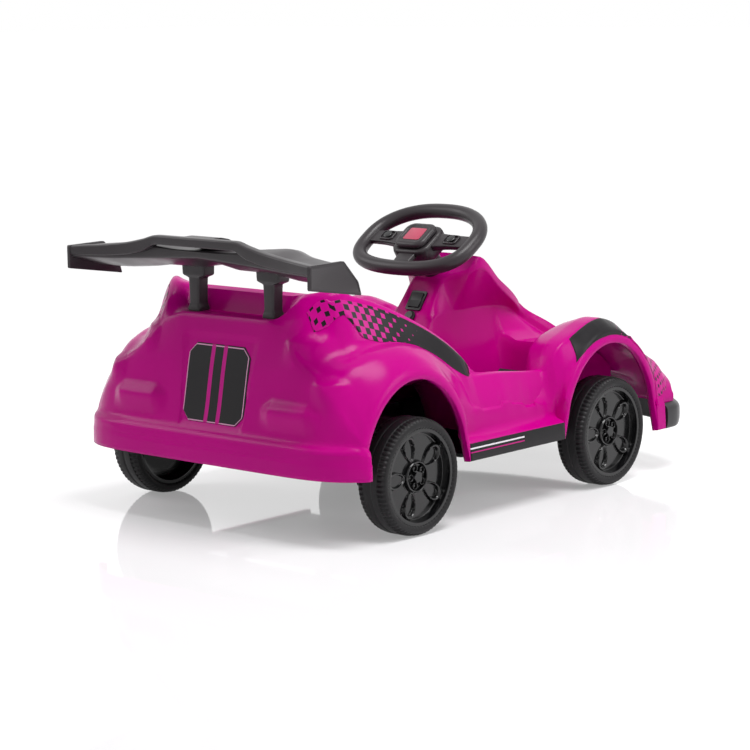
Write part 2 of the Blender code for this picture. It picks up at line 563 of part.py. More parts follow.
def loft(name, sections, finish=None, collection=PARTS):
    """A closed solid through section loops of equal length, capped at both ends."""
    width = len(sections[0])
    verts = [p for section in sections for p in section]
    faces = []
    for i in range(len(sections) - 1):
        for j in range(width):
            k = (j + 1) % width
            faces.append((i * width + j, i * width + k, (i + 1) * width + k, (i + 1) * width + j))
    faces.append(tuple(range(width))[::-1])
    faces.append(tuple((len(sections) - 1) * width + j for j in range(width)))
    bm = bmesh.new()
    points = [bm.verts.new(v) for v in verts]
    for face in faces:
        bm.faces.new([points[i] for i in face])
    return bmesh_object(name, bm, finish, collection)


def cut(obj, *others):
    for other in others:
        boolean(obj, as_cutter(other))
    return obj


def join(obj, *others):
    for other in others:
        boolean(obj, as_cutter(other), "UNION")
    return obj


# Frame under the body

def chassis_tray():
    half = [(0.000, -0.455), (0.110, -0.448), (0.145, -0.430), (0.165, -0.400), (0.165, -0.090),
            (0.185, -0.072), (0.268, -0.069), (0.282, -0.058), (0.282, 0.145), (0.270, 0.158),
            (0.200, 0.162), (0.188, 0.176), (0.188, 0.395), (0.205, 0.412), (0.205, 0.430),
            (0.190, 0.443), (0.000, 0.456)]
    outline = half + [(-x, y) for x, y in half[-2:0:-1]]
    tray = slab("chassis_tray", outline, 0.1015, 0.1075, "frame_black")
    bosses = [rod(f"tray_boss_{i}", (x, y, 0.104), (x, y, 0.1225), 0.012, collection=CUTTERS, segments=8)
              for i, (x, y) in enumerate(((0.13, -0.165), (-0.13, -0.165), (0.13, 0.015), (-0.13, 0.015)))]
    rails = [box(f"tray_rail_{i}", (x - 0.004, 0.07, 0.104), (x + 0.004, 0.42, 0.120), collection=CUTTERS)
             for i, x in enumerate((-0.085, 0.085))]
    return join(tray, *bosses, *rails)


def front_bumper():
    inner = [(0, -0.4895), (0.060, -0.4868), (0.120, -0.4785), (0.180, -0.4640), (0.230, -0.4480),
             (0.262, -0.4365), (0.284, -0.4250), (0.2970, -0.4070), (0.2985, -0.3900), (0.2985, -0.3778)]
    outer = [(0, -0.5160), (0.062, -0.5138), (0.124, -0.5060), (0.188, -0.4910), (0.245, -0.4720),
             (0.280, -0.4530), (0.3005, -0.4315), (0.3105, -0.4060), (0.3115, -0.3900), (0.3115, -0.3778)]
    top = [0.138, 0.138, 0.138, 0.138, 0.137, 0.131, 0.1245, 0.1235, 0.1230, 0.1230]
    lean = [0.0095, 0.0090, 0.0075, 0.0050, 0.0015, 0.0, 0.0, 0.0, 0.0, 0.0]
    sections = []
    for (ix, iy), (ox, oy), high, back in zip(inner, outer, top, lean):
        away = Vector((ox - ix, oy - iy, 0.0))
        depth = away.length
        away.normalize()
        profile = [(0.0, 0.080), (0.0, 0.107), (-back, high), (depth * 0.25, high - 0.001),
                   (depth * 0.92, 0.116), (depth, 0.104), (depth * 0.98, 0.088), (depth * 0.82, 0.0775),
                   (depth * 0.2, 0.0770)]
        sections.append([Vector((ix, iy, z)) + away * d for d, z in profile])
    mirror_sections = [[Vector((-p.x, p.y, p.z)) for p in section] for section in sections[:0:-1]]
    bumper = loft("front_bumper", mirror_sections + sections, "bumper_black")
    tongues = [box(f"bumper_tongue_{i}", (x - 0.016, -0.487, 0.0935), (x + 0.016, -0.405, 0.1010),
                   collection=CUTTERS) for i, x in enumerate((-0.10, 0.10))]
    return smooth(join(bumper, *tongues), 28)


def front_axle_beam():
    half = [(0.178, 0.1080), (0.178, 0.0700), (0.219, 0.0700), (0.219, 0.0770), (0.187, 0.0773),
            (0.187, 0.1282), (0.219, 0.1285), (0.219, 0.1355)]
    outline = half + [(-x, z) for x, z in half[::-1]]
    beam = slab("front_axle_beam", outline, -0.012, 0.012, "frame_black")
    beam.matrix_world = Matrix.Translation((0, FRONT_AXLE_Y, 0)) @ Matrix.Rotation(math.pi / 2, 4, "X")
    bores = [rod(f"beam_bore_{i}", (x, FRONT_AXLE_Y, 0.060), (x, FRONT_AXLE_Y, 0.145), KINGPIN_R + GAP,
                 collection=CUTTERS) for i, x in enumerate((-KINGPIN_X, KINGPIN_X))]
    return cut(beam, *bores)


def knuckle(side, sign):
    x = sign * KINGPIN_X
    barrel = rod(f"knuckle_{side}", (x, FRONT_AXLE_Y, 0.0775), (x, FRONT_AXLE_Y, 0.1280), 0.0115,
                 "frame_black", segments=16)
    stub = rod(f"stub_{side}", (x + sign * 0.006, FRONT_AXLE_Y, WHEEL_R),
               (sign * 0.2905, FRONT_AXLE_Y, WHEEL_R), AXLE_R, collection=CUTTERS)
    boss = rod(f"stub_boss_{side}", (x + sign * 0.006, FRONT_AXLE_Y, WHEEL_R),
               (sign * 0.2500, FRONT_AXLE_Y, WHEEL_R), 0.0095, collection=CUTTERS, radius_end=0.0075)
    arm = box(f"arm_{side}", (x - 0.0075, BAR_Y - 0.009, 0.1190), (x + 0.0075, FRONT_AXLE_Y, 0.1255),
              collection=CUTTERS)
    pin = rod(f"arm_pin_{side}", (x, BAR_Y, 0.122), (x, BAR_Y, 0.1350), 0.003, collection=CUTTERS, segments=12)
    join(barrel, boss, stub, arm, pin)
    bore = rod(f"knuckle_bore_{side}", (x, FRONT_AXLE_Y, 0.070), (x, FRONT_AXLE_Y, 0.140), KINGPIN_R + GAP,
               collection=CUTTERS)
    cut(barrel, bore)
    kingpin = rod(f"kingpin_{side}", (x, FRONT_AXLE_Y, 0.0670), (x, FRONT_AXLE_Y, 0.1390), KINGPIN_R, "steel")
    return barrel, kingpin


def tie_bar():
    """The flat bar that the crank pushes from side to side, slotted for its three pins."""
    end, mid = 0.010, BAR_Y
    half = [(0.024, mid + 0.0225), (0.034, mid + 0.007), (KINGPIN_X - 0.012, mid + 0.007),
            (KINGPIN_X - 0.006, mid + 0.0125), (KINGPIN_X + end, mid + 0.0125),
            (KINGPIN_X + end, mid - 0.008), (KINGPIN_X - 0.006, mid - 0.008),
            (KINGPIN_X - 0.012, mid - 0.006), (0.034, mid - 0.006), (0.024, mid - 0.0135)]
    outline = half + [(-x, y) for x, y in half[::-1]]
    slots = [rounded_rect(0, mid + 0.0045, 2 * (COLUMN_R + 0.0010), 0.0262, 0.003)]
    for x in (-KINGPIN_X, KINGPIN_X):
        slots.append(rounded_rect(x, mid + 0.0017, 0.0078, 0.0118, 0.0035))
    return slab("tie_bar", outline, BAR_Z, BAR_Z + BAR_T, "steel", holes=slots)


def crank_points():
    """Path of the steering column: straight down, out to the crank, and down the crank pin."""
    down = steer_point(0, 0, -1) - steer_point(0, 0, 0)
    forward = steer_point(0, -1, 0) - steer_point(0, 0, 0)
    reach = (STEER_CENTRE.z + forward.z * CRANK_R - (BAR_Z + BAR_T / 2)) / -down.z
    foot = STEER_CENTRE + down * (reach - CRANK_PIN)
    elbow = foot + forward * CRANK_R
    tip = elbow + down * (CRANK_PIN + 0.010)
    r = 0.008
    points = [STEER_CENTRE + down * 0.0285, foot - down * r]
    points += [foot - down * r * (1 - math.sin(a)) + forward * r * (1 - math.cos(a))
               for a in (math.radians(30), math.radians(60), math.radians(90))]
    points += [elbow - forward * r + forward * r * math.sin(a) + down * r * (1 - math.cos(a))
               for a in (0.0, math.radians(30), math.radians(60), math.radians(90))]
    return points + [tip]


def steering():
    m = steer_matrix()
    count = 32
    path = []
    for i in range(count):
        t = 2 * math.pi * i / count
        c, d = math.cos(t), math.sin(t)
        x = STEER_RX * math.copysign(abs(c) ** 0.86, c)
        y = STEER_RY * math.copysign(abs(d) ** (0.60 if d > 0 else 0.92), d)
        path.append((x, y * (0.93 if d > 0 else 1.0), 0.0))
    wheel = tube("steering_wheel", path, STEER_TUBE_R, "grey_plastic", cyclic=True)
    wheel.matrix_world = m
    hub = slab("hub_body", rounded_rect(0, 0.006, 0.084, 0.080, 0.018), -0.028, 0.0095, collection=CUTTERS)
    spokes = [slab(f"spoke_{i}", outline, low, high, collection=CUTTERS) for i, (outline, low, high) in enumerate((
        ([(0.030, -0.020), (0.070, -0.015), (0.118, -0.017), (0.118, 0.017), (0.070, 0.015), (0.030, 0.022)],
         -0.0055, 0.0060),
        ([(-0.118, -0.017), (-0.070, -0.015), (-0.030, -0.020), (-0.030, 0.022), (-0.070, 0.015),
          (-0.118, 0.017)], -0.0055, 0.0060),
        ([(-0.022, 0.030), (0.022, 0.030), (0.017, 0.076), (-0.017, 0.076)], -0.0050, 0.0055)))]
    for piece in (hub, *spokes):
        piece.matrix_world = m
    bevel(hub, 0.004, 2)
    join(wheel, hub, *spokes)
    wells = []
    for side, sign in (("left", 1), ("right", -1)):
        well = rod(f"button_well_{side}", (sign * 0.072, 0.0, 0.0025), (sign * 0.072, 0.0, 0.0095), 0.0093,
                   collection=CUTTERS, segments=20)
        well.matrix_world = m @ well.matrix_world
        wells.append(well)
    cut(wheel, *wells)
    smooth(wheel, 32)
    pad = slab("horn_pad", rounded_rect(0, 0.006, 0.066, 0.062, 0.014), 0.0128, 0.0205, "badge_rose")
    pad.matrix_world = m
    bevel(pad, 0.002, 1)
    buttons = []
    for side, sign in (("left", 1), ("right", -1)):
        button = rod(f"wheel_button_{side}", (sign * 0.072, 0.0, 0.0055), (sign * 0.072, 0.0, 0.0100), 0.0085,
                     "switch_black", segments=20)
        button.matrix_world = m @ button.matrix_world
        buttons.append(button)
    column = tube("steering_column", crank_points(), COLUMN_R, "steel", sides=3)
    boot = turned("column_boot", [(COLUMN_R + 0.0006, -0.0790), (BOOT_R, -0.0790), (BOOT_R, -0.0500),
                                  (0.0190, -0.0320), (0.0170, -0.0290), (COLUMN_R + 0.0006, -0.0290)], 16,
                  "grey_plastic")
    boot.matrix_world = m
    smooth(boot)
    bearing = box("column_bearing", (-0.016, -0.240, 0.1358), (0.016, -0.205, 0.195), "frame_black")
    down = steer_point(0, 0, -1) - steer_point(0, 0, 0)
    bore = rod("bearing_bore", STEER_CENTRE + down * 0.22, STEER_CENTRE + down * 0.36, COLUMN_R + 0.0006,
               collection=CUTTERS)
    cut(bearing, bore)
    return wheel, pad, buttons, column, boot, bearing


# Wheels

def wheel_matrix(x, y):
    turn = Matrix.Rotation(math.copysign(math.pi / 2, x), 4, "Y")
    return Matrix.Translation((x, y, WHEEL_R)) @ turn


# Five looped spokes: at each radius, the cover's height on a spoke's middle line, on its arm, beside it and between
SPOKE_STEPS = WHEEL_STEPS // 5
SPOKE_RINGS = [(0.0250, (0.0145, 0.0145, 0.0115, 0.0105)), (0.0390, (0.0080, 0.0150, 0.0085, 0.0080)),
               (0.0580, (0.0090, 0.0165, 0.0100, 0.0090)), (0.0665, (0.0172, 0.0168, 0.0125, 0.0115))]


def wheel(tag, x, y):
    m = wheel_matrix(x, y)
    half = TYRE_WIDTH / 2
    tyre = turned(f"tyre_{tag}", [(0.0795, -0.0270), (0.0870, -half), (0.0930, -0.0240), (WHEEL_R, -0.0140),
                                  (WHEEL_R, 0.0140), (0.0930, 0.0240), (0.0870, half), (0.0795, 0.0270)],
                  WHEEL_STEPS, "tyre_black")
    disc = turned(f"disc_{tag}", [(AXLE_R + 0.0004, -0.0240), (0.0180, -0.0240), (0.0180, 0.0020),
                                  (0.0680, 0.0020), (0.0720, -0.0262), (0.0791, -0.0262), (0.0791, 0.0266),
                                  (0.0725, 0.0262), *((r, z[3]) for r, z in SPOKE_RINGS[::-1]),
                                  (AXLE_R + 0.0004, 0.0150)], WHEEL_STEPS, collection=CUTTERS)
    rim = meshed(disc, f"rim_{tag}", "rim_black")
    for vert in rim.data.vertices:
        for r, heights in SPOKE_RINGS:
            if abs(vert.co.xy.length - r) < 1e-5 and vert.co.z > 0.004:
                step = round(math.atan2(vert.co.y, vert.co.x) / (2 * math.pi) * WHEEL_STEPS) % SPOKE_STEPS
                vert.co.z = heights[min(step, SPOKE_STEPS - step)]
    smooth(rim, 40)
    cap = rod(f"hub_cap_{tag}", (0, 0, 0.0153), (0, 0, 0.0262), 0.0195, "rim_black", segments=20,
              radius_end=0.0175)
    for piece in (tyre, rim):
        piece.matrix_world = m
    cap.matrix_world = m @ cap.matrix_world
    return [tyre, rim, cap]


# Rear drive

def yz_matrix(x):
    """Local XY to world YZ, local Z to world +X."""
    return Matrix(((0, 0, 1, x), (1, 0, 0, 0), (0, 1, 0, 0), (0, 0, 0, 1)))


def rear_drive():
    axle = rod("rear_axle", (-0.2905, REAR_AXLE_Y, WHEEL_R), (0.2905, REAR_AXLE_Y, WHEEL_R), AXLE_R, "steel")
    for side, sign in (("left", 1), ("right", -1)):
        clamp = box(f"axle_clamp_{side}", (-0.010, -0.017, -0.0115), (0.010, 0.017, 0.0062), "frame_black",
                    matrix=Matrix.Translation((sign * 0.10, REAR_AXLE_Y, WHEEL_R)))
        bore = rod(f"clamp_bore_{side}", (sign * 0.08, REAR_AXLE_Y, WHEEL_R),
                   (sign * 0.12, REAR_AXLE_Y, WHEEL_R), AXLE_R + GAP, collection=CUTTERS)
        cut(clamp, bore)
        big = arc(REAR_AXLE_Y, WHEEL_R, 0.034, 150, 375, 9)
        small = arc(REAR_AXLE_Y - 0.014, 0.156, 0.026, 15, 150, 6)
        low, high = sorted((sign * 0.194, sign * 0.234))
        gearbox = slab(f"gearbox_{side}", big + small, low, high, "frame_black")
        gearbox.matrix_world = yz_matrix(0)
        collar = rod(f"gear_collar_{side}", (sign * 0.220, REAR_AXLE_Y, WHEEL_R),
                     (sign * 0.2555, REAR_AXLE_Y, WHEEL_R), 0.016, collection=CUTTERS, segments=16)
        join(gearbox, collar)
        bore = rod(f"gear_bore_{side}", (sign * 0.18, REAR_AXLE_Y, WHEEL_R),
                   (sign * 0.27, REAR_AXLE_Y, WHEEL_R), AXLE_R + 0.0006, collection=CUTTERS)
        cut(gearbox, bore)
        motor = rod(f"motor_{side}", (sign * 0.140, REAR_AXLE_Y - 0.014, 0.156),
                    (sign * 0.1937, REAR_AXLE_Y - 0.014, 0.156), 0.0175, "steel", segments=16)
        bevel(motor, 0.002, 1)
    box("battery", (-0.045, 0.125, 0.1078), (0.045, 0.215, 0.185), "battery_case")
    strap = slab("battery_strap", [(-0.056, 0.1078), (-0.0455, 0.1078), (-0.0455, 0.1855), (0.0455, 0.1855),
                                   (0.0455, 0.1078), (0.056, 0.1078), (0.056, 0.1115), (0.0475, 0.1115),
                                   (0.0475, 0.1875), (-0.0475, 0.1875), (-0.0475, 0.1115), (-0.056, 0.1115)],
                 -0.010, 0.010, "frame_black")
    strap.matrix_world = Matrix.Translation((0, 0.170, 0)) @ Matrix.Rotation(math.pi / 2, 4, "X")
    bevel(box("control_box", (-0.038, -0.15, 0.1078), (0.038, -0.06, 0.140), "frame_black"), 0.002, 1)
    return axle


# Wing

def rear_wing():
    sections = {
        0.000: [(0.380, 0.430), (0.371, 0.440), (0.380, 0.449), (0.430, 0.452), (0.484, 0.452),
                (0.484, 0.440), (0.430, 0.428)],
        0.045: [(0.383, 0.4185), (0.373, 0.437), (0.381, 0.448), (0.430, 0.452), (0.484, 0.452),
                (0.484, 0.438), (0.430, 0.4185)],
        0.110: [(0.396, 0.4180), (0.388, 0.425), (0.392, 0.448), (0.430, 0.457), (0.485, 0.455),
                (0.485, 0.434), (0.430, 0.4180)],
        0.150: [(0.424, 0.4130), (0.412, 0.420), (0.406, 0.455), (0.430, 0.460), (0.488, 0.454),
                (0.488, 0.432), (0.440, 0.4160)],
        0.200: [(0.426, 0.4090), (0.418, 0.415), (0.424, 0.448), (0.440, 0.452), (0.496, 0.449),
                (0.496, 0.430), (0.450, 0.4130)],
        0.2657: [(0.414, 0.4050), (0.411, 0.411), (0.436, 0.442), (0.450, 0.446), (0.511, 0.445),
                 (0.511, 0.429), (0.450, 0.4120)]}
    loops = [[(x, y, z) for y, z in ring] for x, ring in sections.items()]
    both = [[(-x, y, z) for x, y, z in ring] for ring in loops[:0:-1]] + loops
    wing = loft("rear_wing", both, "grey_plastic")
    blade_rows = []
    for x, top, rear, thick in ((0.0, 0.473, 0.4950, 0.015), (0.086, 0.473, 0.4950, 0.015), (0.116, 0.466, 0.4953, 0.020),
                                (0.156, 0.458, 0.4970, 0.020), (0.206, 0.4520, 0.5030, 0.018),
                                (0.2655, 0.4475, 0.5145, 0.015)):
        blade_rows.append([(x, rear - 0.001, top - thick), (x, rear, top - 0.002), (x, rear - 0.003, top),
                           (x, rear - 0.0165, top), (x, rear - 0.0165, top - thick)])
    both = [[(-x, y, z) for x, y, z in ring] for ring in blade_rows[:0:-1]] + blade_rows
    blade = loft("wing_blade", both, collection=CUTTERS)
    bridge = slab("wing_bridge", [(0.403, 0.4460), (0.443, 0.4695), (0.462, 0.4735), (0.486, 0.4728),
                                  (0.486, 0.4610), (0.466, 0.4615), (0.450, 0.4580), (0.432, 0.4470)],
                  -0.032, 0.032, collection=CUTTERS)
    bridge.matrix_world = yz_matrix(0)
    join(wing, blade, bridge)
    smooth(wing, 28)
    outline = [(0.398, 0.392), (WING_REAR_Y, 0.410), (WING_REAR_Y, 0.448), (0.438, 0.449), (0.405, 0.414)]
    for side, sign in (("left", 1), ("right", -1)):
        low, high = sorted((sign * 0.266, sign * WING_SPAN))
        plate = slab(f"endplate_{side}", outline, low, high, "grey_plastic")
        plate.matrix_world = yz_matrix(0)
        bevel(plate, 0.0015, 1)
        inner = [(0.414, 0.4005), (0.5095, 0.4155), (0.5095, 0.4420), (0.441, 0.4425), (0.4125, 0.4125)]
        low, high = sorted((sign * 0.2710, sign * 0.2800))
        recess = slab(f"endplate_recess_{side}", inner, low, high, collection=CUTTERS)
        recess.matrix_world = yz_matrix(0)
        cut(plate, recess)
        post_rows = []
        for z, hx, hy in ((0.3430, 0.0130, 0.0140), (0.3460, 0.0130, 0.0140), (0.3560, 0.0110, 0.0120),
                          (0.3960, 0.0125, 0.0120), (0.4020, 0.0250, 0.0135), (0.4176, 0.0260, 0.0135)):
            post_rows.append([(sign * POST_X + px, POST_Y + 0.003 + py, z)
                              for px, py in rounded_rect(0, 0, 2 * hx, 2 * hy, 0.004, 3)])
        smooth(loft(f"wing_post_{side}", post_rows, "grey_plastic"), 40)
    return wing


# Controls in the cockpit

def dash_matrix(distance):
    """Frame on the dash slope: local X across, local Y down the slope, local Z out of it."""
    place = DASH_TOP + DASH_DOWN * distance
    return Matrix((
        (1, DASH_DOWN.x, DASH_OUT.x, place.x),
        (0, DASH_DOWN.y, DASH_OUT.y, place.y),
        (0, DASH_DOWN.z, DASH_OUT.z, place.z),
        (0, 0, 0, 1)))


def dash_controls():
    m = dash_matrix(0.047)
    bezel = slab("switch_bezel", rounded_rect(0, 0, 0.034, 0.038, 0.003, 3), 0.0006, 0.0036, "switch_black",
                 holes=[rounded_rect(0, 0, 0.0255, 0.0295, 0.0015, 3)])
    bezel.matrix_world = m
    rocker = slab("direction_switch", [(-0.0140, 0.0022), (0.0, 0.0010), (0.0140, 0.0022), (0.0140, 0.0062),
                                       (0.0, 0.0042), (-0.0140, 0.0062)], -0.0120, 0.0120, "switch_black")
    rocker.matrix_world = m @ Matrix(((0, 0, 1, 0), (1, 0, 0, 0), (0, 1, 0, 0), (0, 0, 0, 1)))
    power = rod("power_button", (0, 0.032, 0.0028), (0, 0.032, 0.0070), 0.0080, "switch_black", segments=20)
    power.matrix_world = m @ power.matrix_world
    collar = turned("power_collar", [(0.0086, 0.0006), (0.0110, 0.0006), (0.0110, 0.0036), (0.0086, 0.0046)],
                    16, "switch_black")
    collar.matrix_world = m @ Matrix.Translation((0, 0.032, 0))
    charge = rod("charge_cap", (0, 0.062, 0.0008), (0, 0.062, 0.0050), 0.0100, "switch_black", segments=20)
    charge.matrix_world = m @ charge.matrix_world
    return rocker, power


def pedal_set():
    """Foot pedal on the right footwell floor, on a pin across its base."""
    cx, floor = -0.120, 0.1260
    base = box("pedal_base", (cx - 0.030, -0.182, floor + GAP), (cx + 0.030, -0.096, floor + 0.006),
               "frame_black")
    lugs = [box(f"pedal_lug_{i}", (x - 0.003, -0.116, floor + 0.002), (x + 0.003, -0.100, floor + 0.020),
                collection=CUTTERS) for i, x in enumerate((cx - 0.0265, cx + 0.0265))]
    join(base, *lugs)
    hinge = Vector((cx, -0.108, floor + 0.014))
    bore = rod("lug_bore", hinge - Vector((0.05, 0, 0)), hinge + Vector((0.05, 0, 0)), 0.0025 + GAP,
               collection=CUTTERS, segments=12)
    cut(base, bore)
    pin = rod("pedal_pin", hinge - Vector((0.0295, 0, 0)), hinge + Vector((0.0295, 0, 0)), 0.0025, "steel",
              segments=12)
    tilt = Matrix.Translation(hinge) @ Matrix.Rotation(math.radians(-38), 4, "X")
    pedal = box("accelerator_pedal", (-0.0225, -0.078, 0.001), (0.0225, 0.004, 0.0065), "foot_rubber",
                matrix=tilt)
    barrel = rod("pedal_barrel", hinge - Vector((0.0225, 0, 0)), hinge + Vector((0.0225, 0, 0)), 0.0065,
                 collection=CUTTERS)
    ribs = [box(f"pedal_rib_{i}", (-0.0185, -0.070 + 0.013 * i, 0.004), (0.0185, -0.065 + 0.013 * i, 0.0085),
                collection=CUTTERS, matrix=tilt) for i in range(5)]
    join(pedal, barrel, *ribs)
    bore = rod("pedal_bore", hinge - Vector((0.05, 0, 0)), hinge + Vector((0.05, 0, 0)), 0.0025 + GAP,
               collection=CUTTERS, segments=12)
    cut(pedal, bore)
    return pedal, hinge


def wheel_liners():
    outline = [(-0.375, 0.145), (-0.372, 0.180), (-0.340, 0.205), (-0.275, 0.236), (-0.225, 0.243),
               (-0.225, 0.145)]
    for side, sign in (("left", 1), ("right", -1)):
        low, high = sorted((sign * 0.186, sign * 0.189))
        liner = slab(f"wheel_liner_{side}", outline, low, high, "body_pink")
        liner.matrix_world = yz_matrix(0)


def main():
    clear_scene()
    body_shell()
    chassis_tray()
    front_bumper()
    front_axle_beam()
    tie = tie_bar()
    wheel_liners()
    steer_wheel, pad, buttons, column, boot, bearing = steering()
    steer_joint = joint_empty("steering_axis", STEER_CENTRE)
    carry(steer_joint, steer_wheel, pad, column, *buttons)
    for side, sign in (("left", 1), ("right", -1)):
        turn, kingpin = knuckle(side, sign)
        pivot = joint_empty(f"kingpin_axis_{side}", (sign * KINGPIN_X, FRONT_AXLE_Y, WHEEL_R))
        front = joint_empty(f"wheel_axis_front_{side}", (sign * WHEEL_X, FRONT_AXLE_Y, WHEEL_R), pivot)
        carry(pivot, turn)
        carry(front, *wheel(f"front_{side}", sign * WHEEL_X, FRONT_AXLE_Y))
        rear = joint_empty(f"wheel_axis_rear_{side}", (sign * WHEEL_X, REAR_AXLE_Y, WHEEL_R))
        carry(rear, *wheel(f"rear_{side}", sign * WHEEL_X, REAR_AXLE_Y))
    rear_drive()
    rear_wing()
    rocker, power = dash_controls()
    carry(joint_empty("switch_axis", rocker.matrix_world @ Vector((0, 0.0035, 0))), rocker)
    carry(joint_empty("power_axis", power.matrix_world.translation), power)
    pedal, hinge = pedal_set()
    carry(joint_empty("pedal_axis", hinge), pedal)
    carry(joint_empty("tie_bar_axis", (0, BAR_Y, BAR_Z)), tie)


main()
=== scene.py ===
# %% [markdown]
# # A child's electric kart
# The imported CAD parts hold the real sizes, the joints and the hidden frame.
# This lesson dresses them: it works out each visible surface again as a fine grid of points with numpy,
# and gives every part a plastic, rubber or steel made of shader nodes.

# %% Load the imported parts
import math

import bmesh
import bpy
import mathutils
import numpy as np
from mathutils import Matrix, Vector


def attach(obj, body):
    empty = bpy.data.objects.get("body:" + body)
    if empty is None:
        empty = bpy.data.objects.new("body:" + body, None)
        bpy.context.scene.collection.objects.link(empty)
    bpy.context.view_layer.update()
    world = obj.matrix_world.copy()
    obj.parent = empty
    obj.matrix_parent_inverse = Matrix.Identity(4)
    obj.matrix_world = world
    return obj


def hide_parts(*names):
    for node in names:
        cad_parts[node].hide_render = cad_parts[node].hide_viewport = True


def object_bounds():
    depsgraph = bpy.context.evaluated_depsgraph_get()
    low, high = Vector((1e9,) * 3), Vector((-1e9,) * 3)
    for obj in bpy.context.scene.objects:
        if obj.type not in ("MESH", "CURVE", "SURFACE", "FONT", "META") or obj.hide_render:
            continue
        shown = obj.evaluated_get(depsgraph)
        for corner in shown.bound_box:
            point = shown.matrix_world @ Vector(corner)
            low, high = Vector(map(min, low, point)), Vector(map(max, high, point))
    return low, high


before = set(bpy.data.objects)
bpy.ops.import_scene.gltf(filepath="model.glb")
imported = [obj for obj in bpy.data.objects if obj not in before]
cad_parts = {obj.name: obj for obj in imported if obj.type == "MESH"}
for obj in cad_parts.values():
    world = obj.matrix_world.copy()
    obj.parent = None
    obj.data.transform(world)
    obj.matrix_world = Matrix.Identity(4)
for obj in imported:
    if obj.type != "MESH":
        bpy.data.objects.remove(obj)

CAD_LOW, CAD_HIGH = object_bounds()
print("CAD box in mm:", [round((high - low) * 1000, 1) for low, high in zip(CAD_LOW, CAD_HIGH)])

# %% [markdown]
# ## Colours and shader nodes
# A photograph gives colours as sRGB hex values, and the renderer wants linear light, so one function turns them.
# One more function adds a node: that keeps a material short enough to read from its first node to its last.

# %% Colour and node helpers
def paint(hex_value):
    """Linear colour of an sRGB hex value: c / 12.92 when dark, else ((c + 0.055) / 1.055) to the power 2.4."""
    c = np.array([(hex_value >> shift) & 255 for shift in (16, 8, 0)]) / 255
    return (*np.where(c <= 0.04045, c / 12.92, ((c + 0.055) / 1.055) ** 2.4).tolist(), 1.0)


def node(tree, kind, inputs=None, **settings):
    """Adds one node; inputs maps a socket's name or number to a value, an output, or a node for its first output."""
    made = tree.nodes.new("ShaderNode" + kind)
    for name, value in settings.items():
        setattr(made, name, value)
    for key, value in (inputs or {}).items():
        value = value.outputs[0] if isinstance(value, bpy.types.Node) else value
        if isinstance(value, bpy.types.NodeSocket):
            tree.links.new(value, made.inputs[key])
        else:
            made.inputs[key].default_value = value
    return made


def cleared(owner):
    """The emptied node tree of a material or a world."""
    owner.use_nodes = True
    owner.node_tree.nodes.clear()
    return owner.node_tree


def started(name):
    """A new material, its empty node tree and the object's own coordinates in metres."""
    mat = bpy.data.materials.new(name)
    tree = cleared(mat)
    return mat, tree, node(tree, "TexCoord").outputs["Object"]


def per_mm(size):
    """Texture scale whose pattern repeats about every `size` millimetres on metre coordinates."""
    return 1000.0 / size

# %% [markdown]
# ## Moulded plastic
# Nearly all of the kart is injection moulded polypropylene and ABS, coloured right through.
# What the eye reads is the gloss: polished moulds give mirror patches with a slight orange peel,
# spark-eroded moulds give a fine leather grain that spreads the light.
# So one recipe serves every plastic, with its pigment, its roughness and the size and depth of its grain in mm.

# %% The plastic recipe
def moulded(name, pigment, shade, roughness, grain_mm, depth_mm, specular=0.5, flow_mm=120.0):
    """Moulded plastic: two close pigments in slow flow marks, patchy roughness, and grain as a bump."""
    mat, tree, place = started(name)
    flow = node(tree, "TexNoise", {"Vector": place, "Scale": per_mm(flow_mm), "Detail": 2.0, "Distortion": 0.6})
    colour = node(tree, "Mix", {0: flow, 6: paint(pigment), 7: paint(shade)}, data_type="RGBA")
    handling = node(tree, "TexNoise", {"Vector": place, "Scale": per_mm(60.0), "Detail": 3.0, "Roughness": 0.5})
    gloss = node(tree, "MapRange", {"Value": handling, "From Min": 0.3, "From Max": 0.75,
                                    "To Min": roughness * 0.9, "To Max": roughness * 1.2 + 0.01})
    grain = node(tree, "TexNoise", {"Vector": place, "Scale": per_mm(grain_mm), "Detail": 2.0})
    relief = node(tree, "Bump", {"Height": grain, "Distance": depth_mm / 1000, "Strength": 1.0})
    shader = node(tree, "BsdfPrincipled", {"Base Color": colour.outputs[2], "Roughness": gloss, "Normal": relief,
                                           "Specular IOR Level": specular})
    node(tree, "OutputMaterial", {"Surface": shader})
    return mat

# %% [markdown]
# The body is polypropylene with a strong magenta pigment from a polished mould: a wide soft shine, no sparkle.
# The wing, the steering wheel and the bumper come from grained moulds, so their blacks look grey and satin.
# The wheel covers are glossy ABS. Grain finer than a pixel is drawn at 0.6 mm or more so that it still shows.

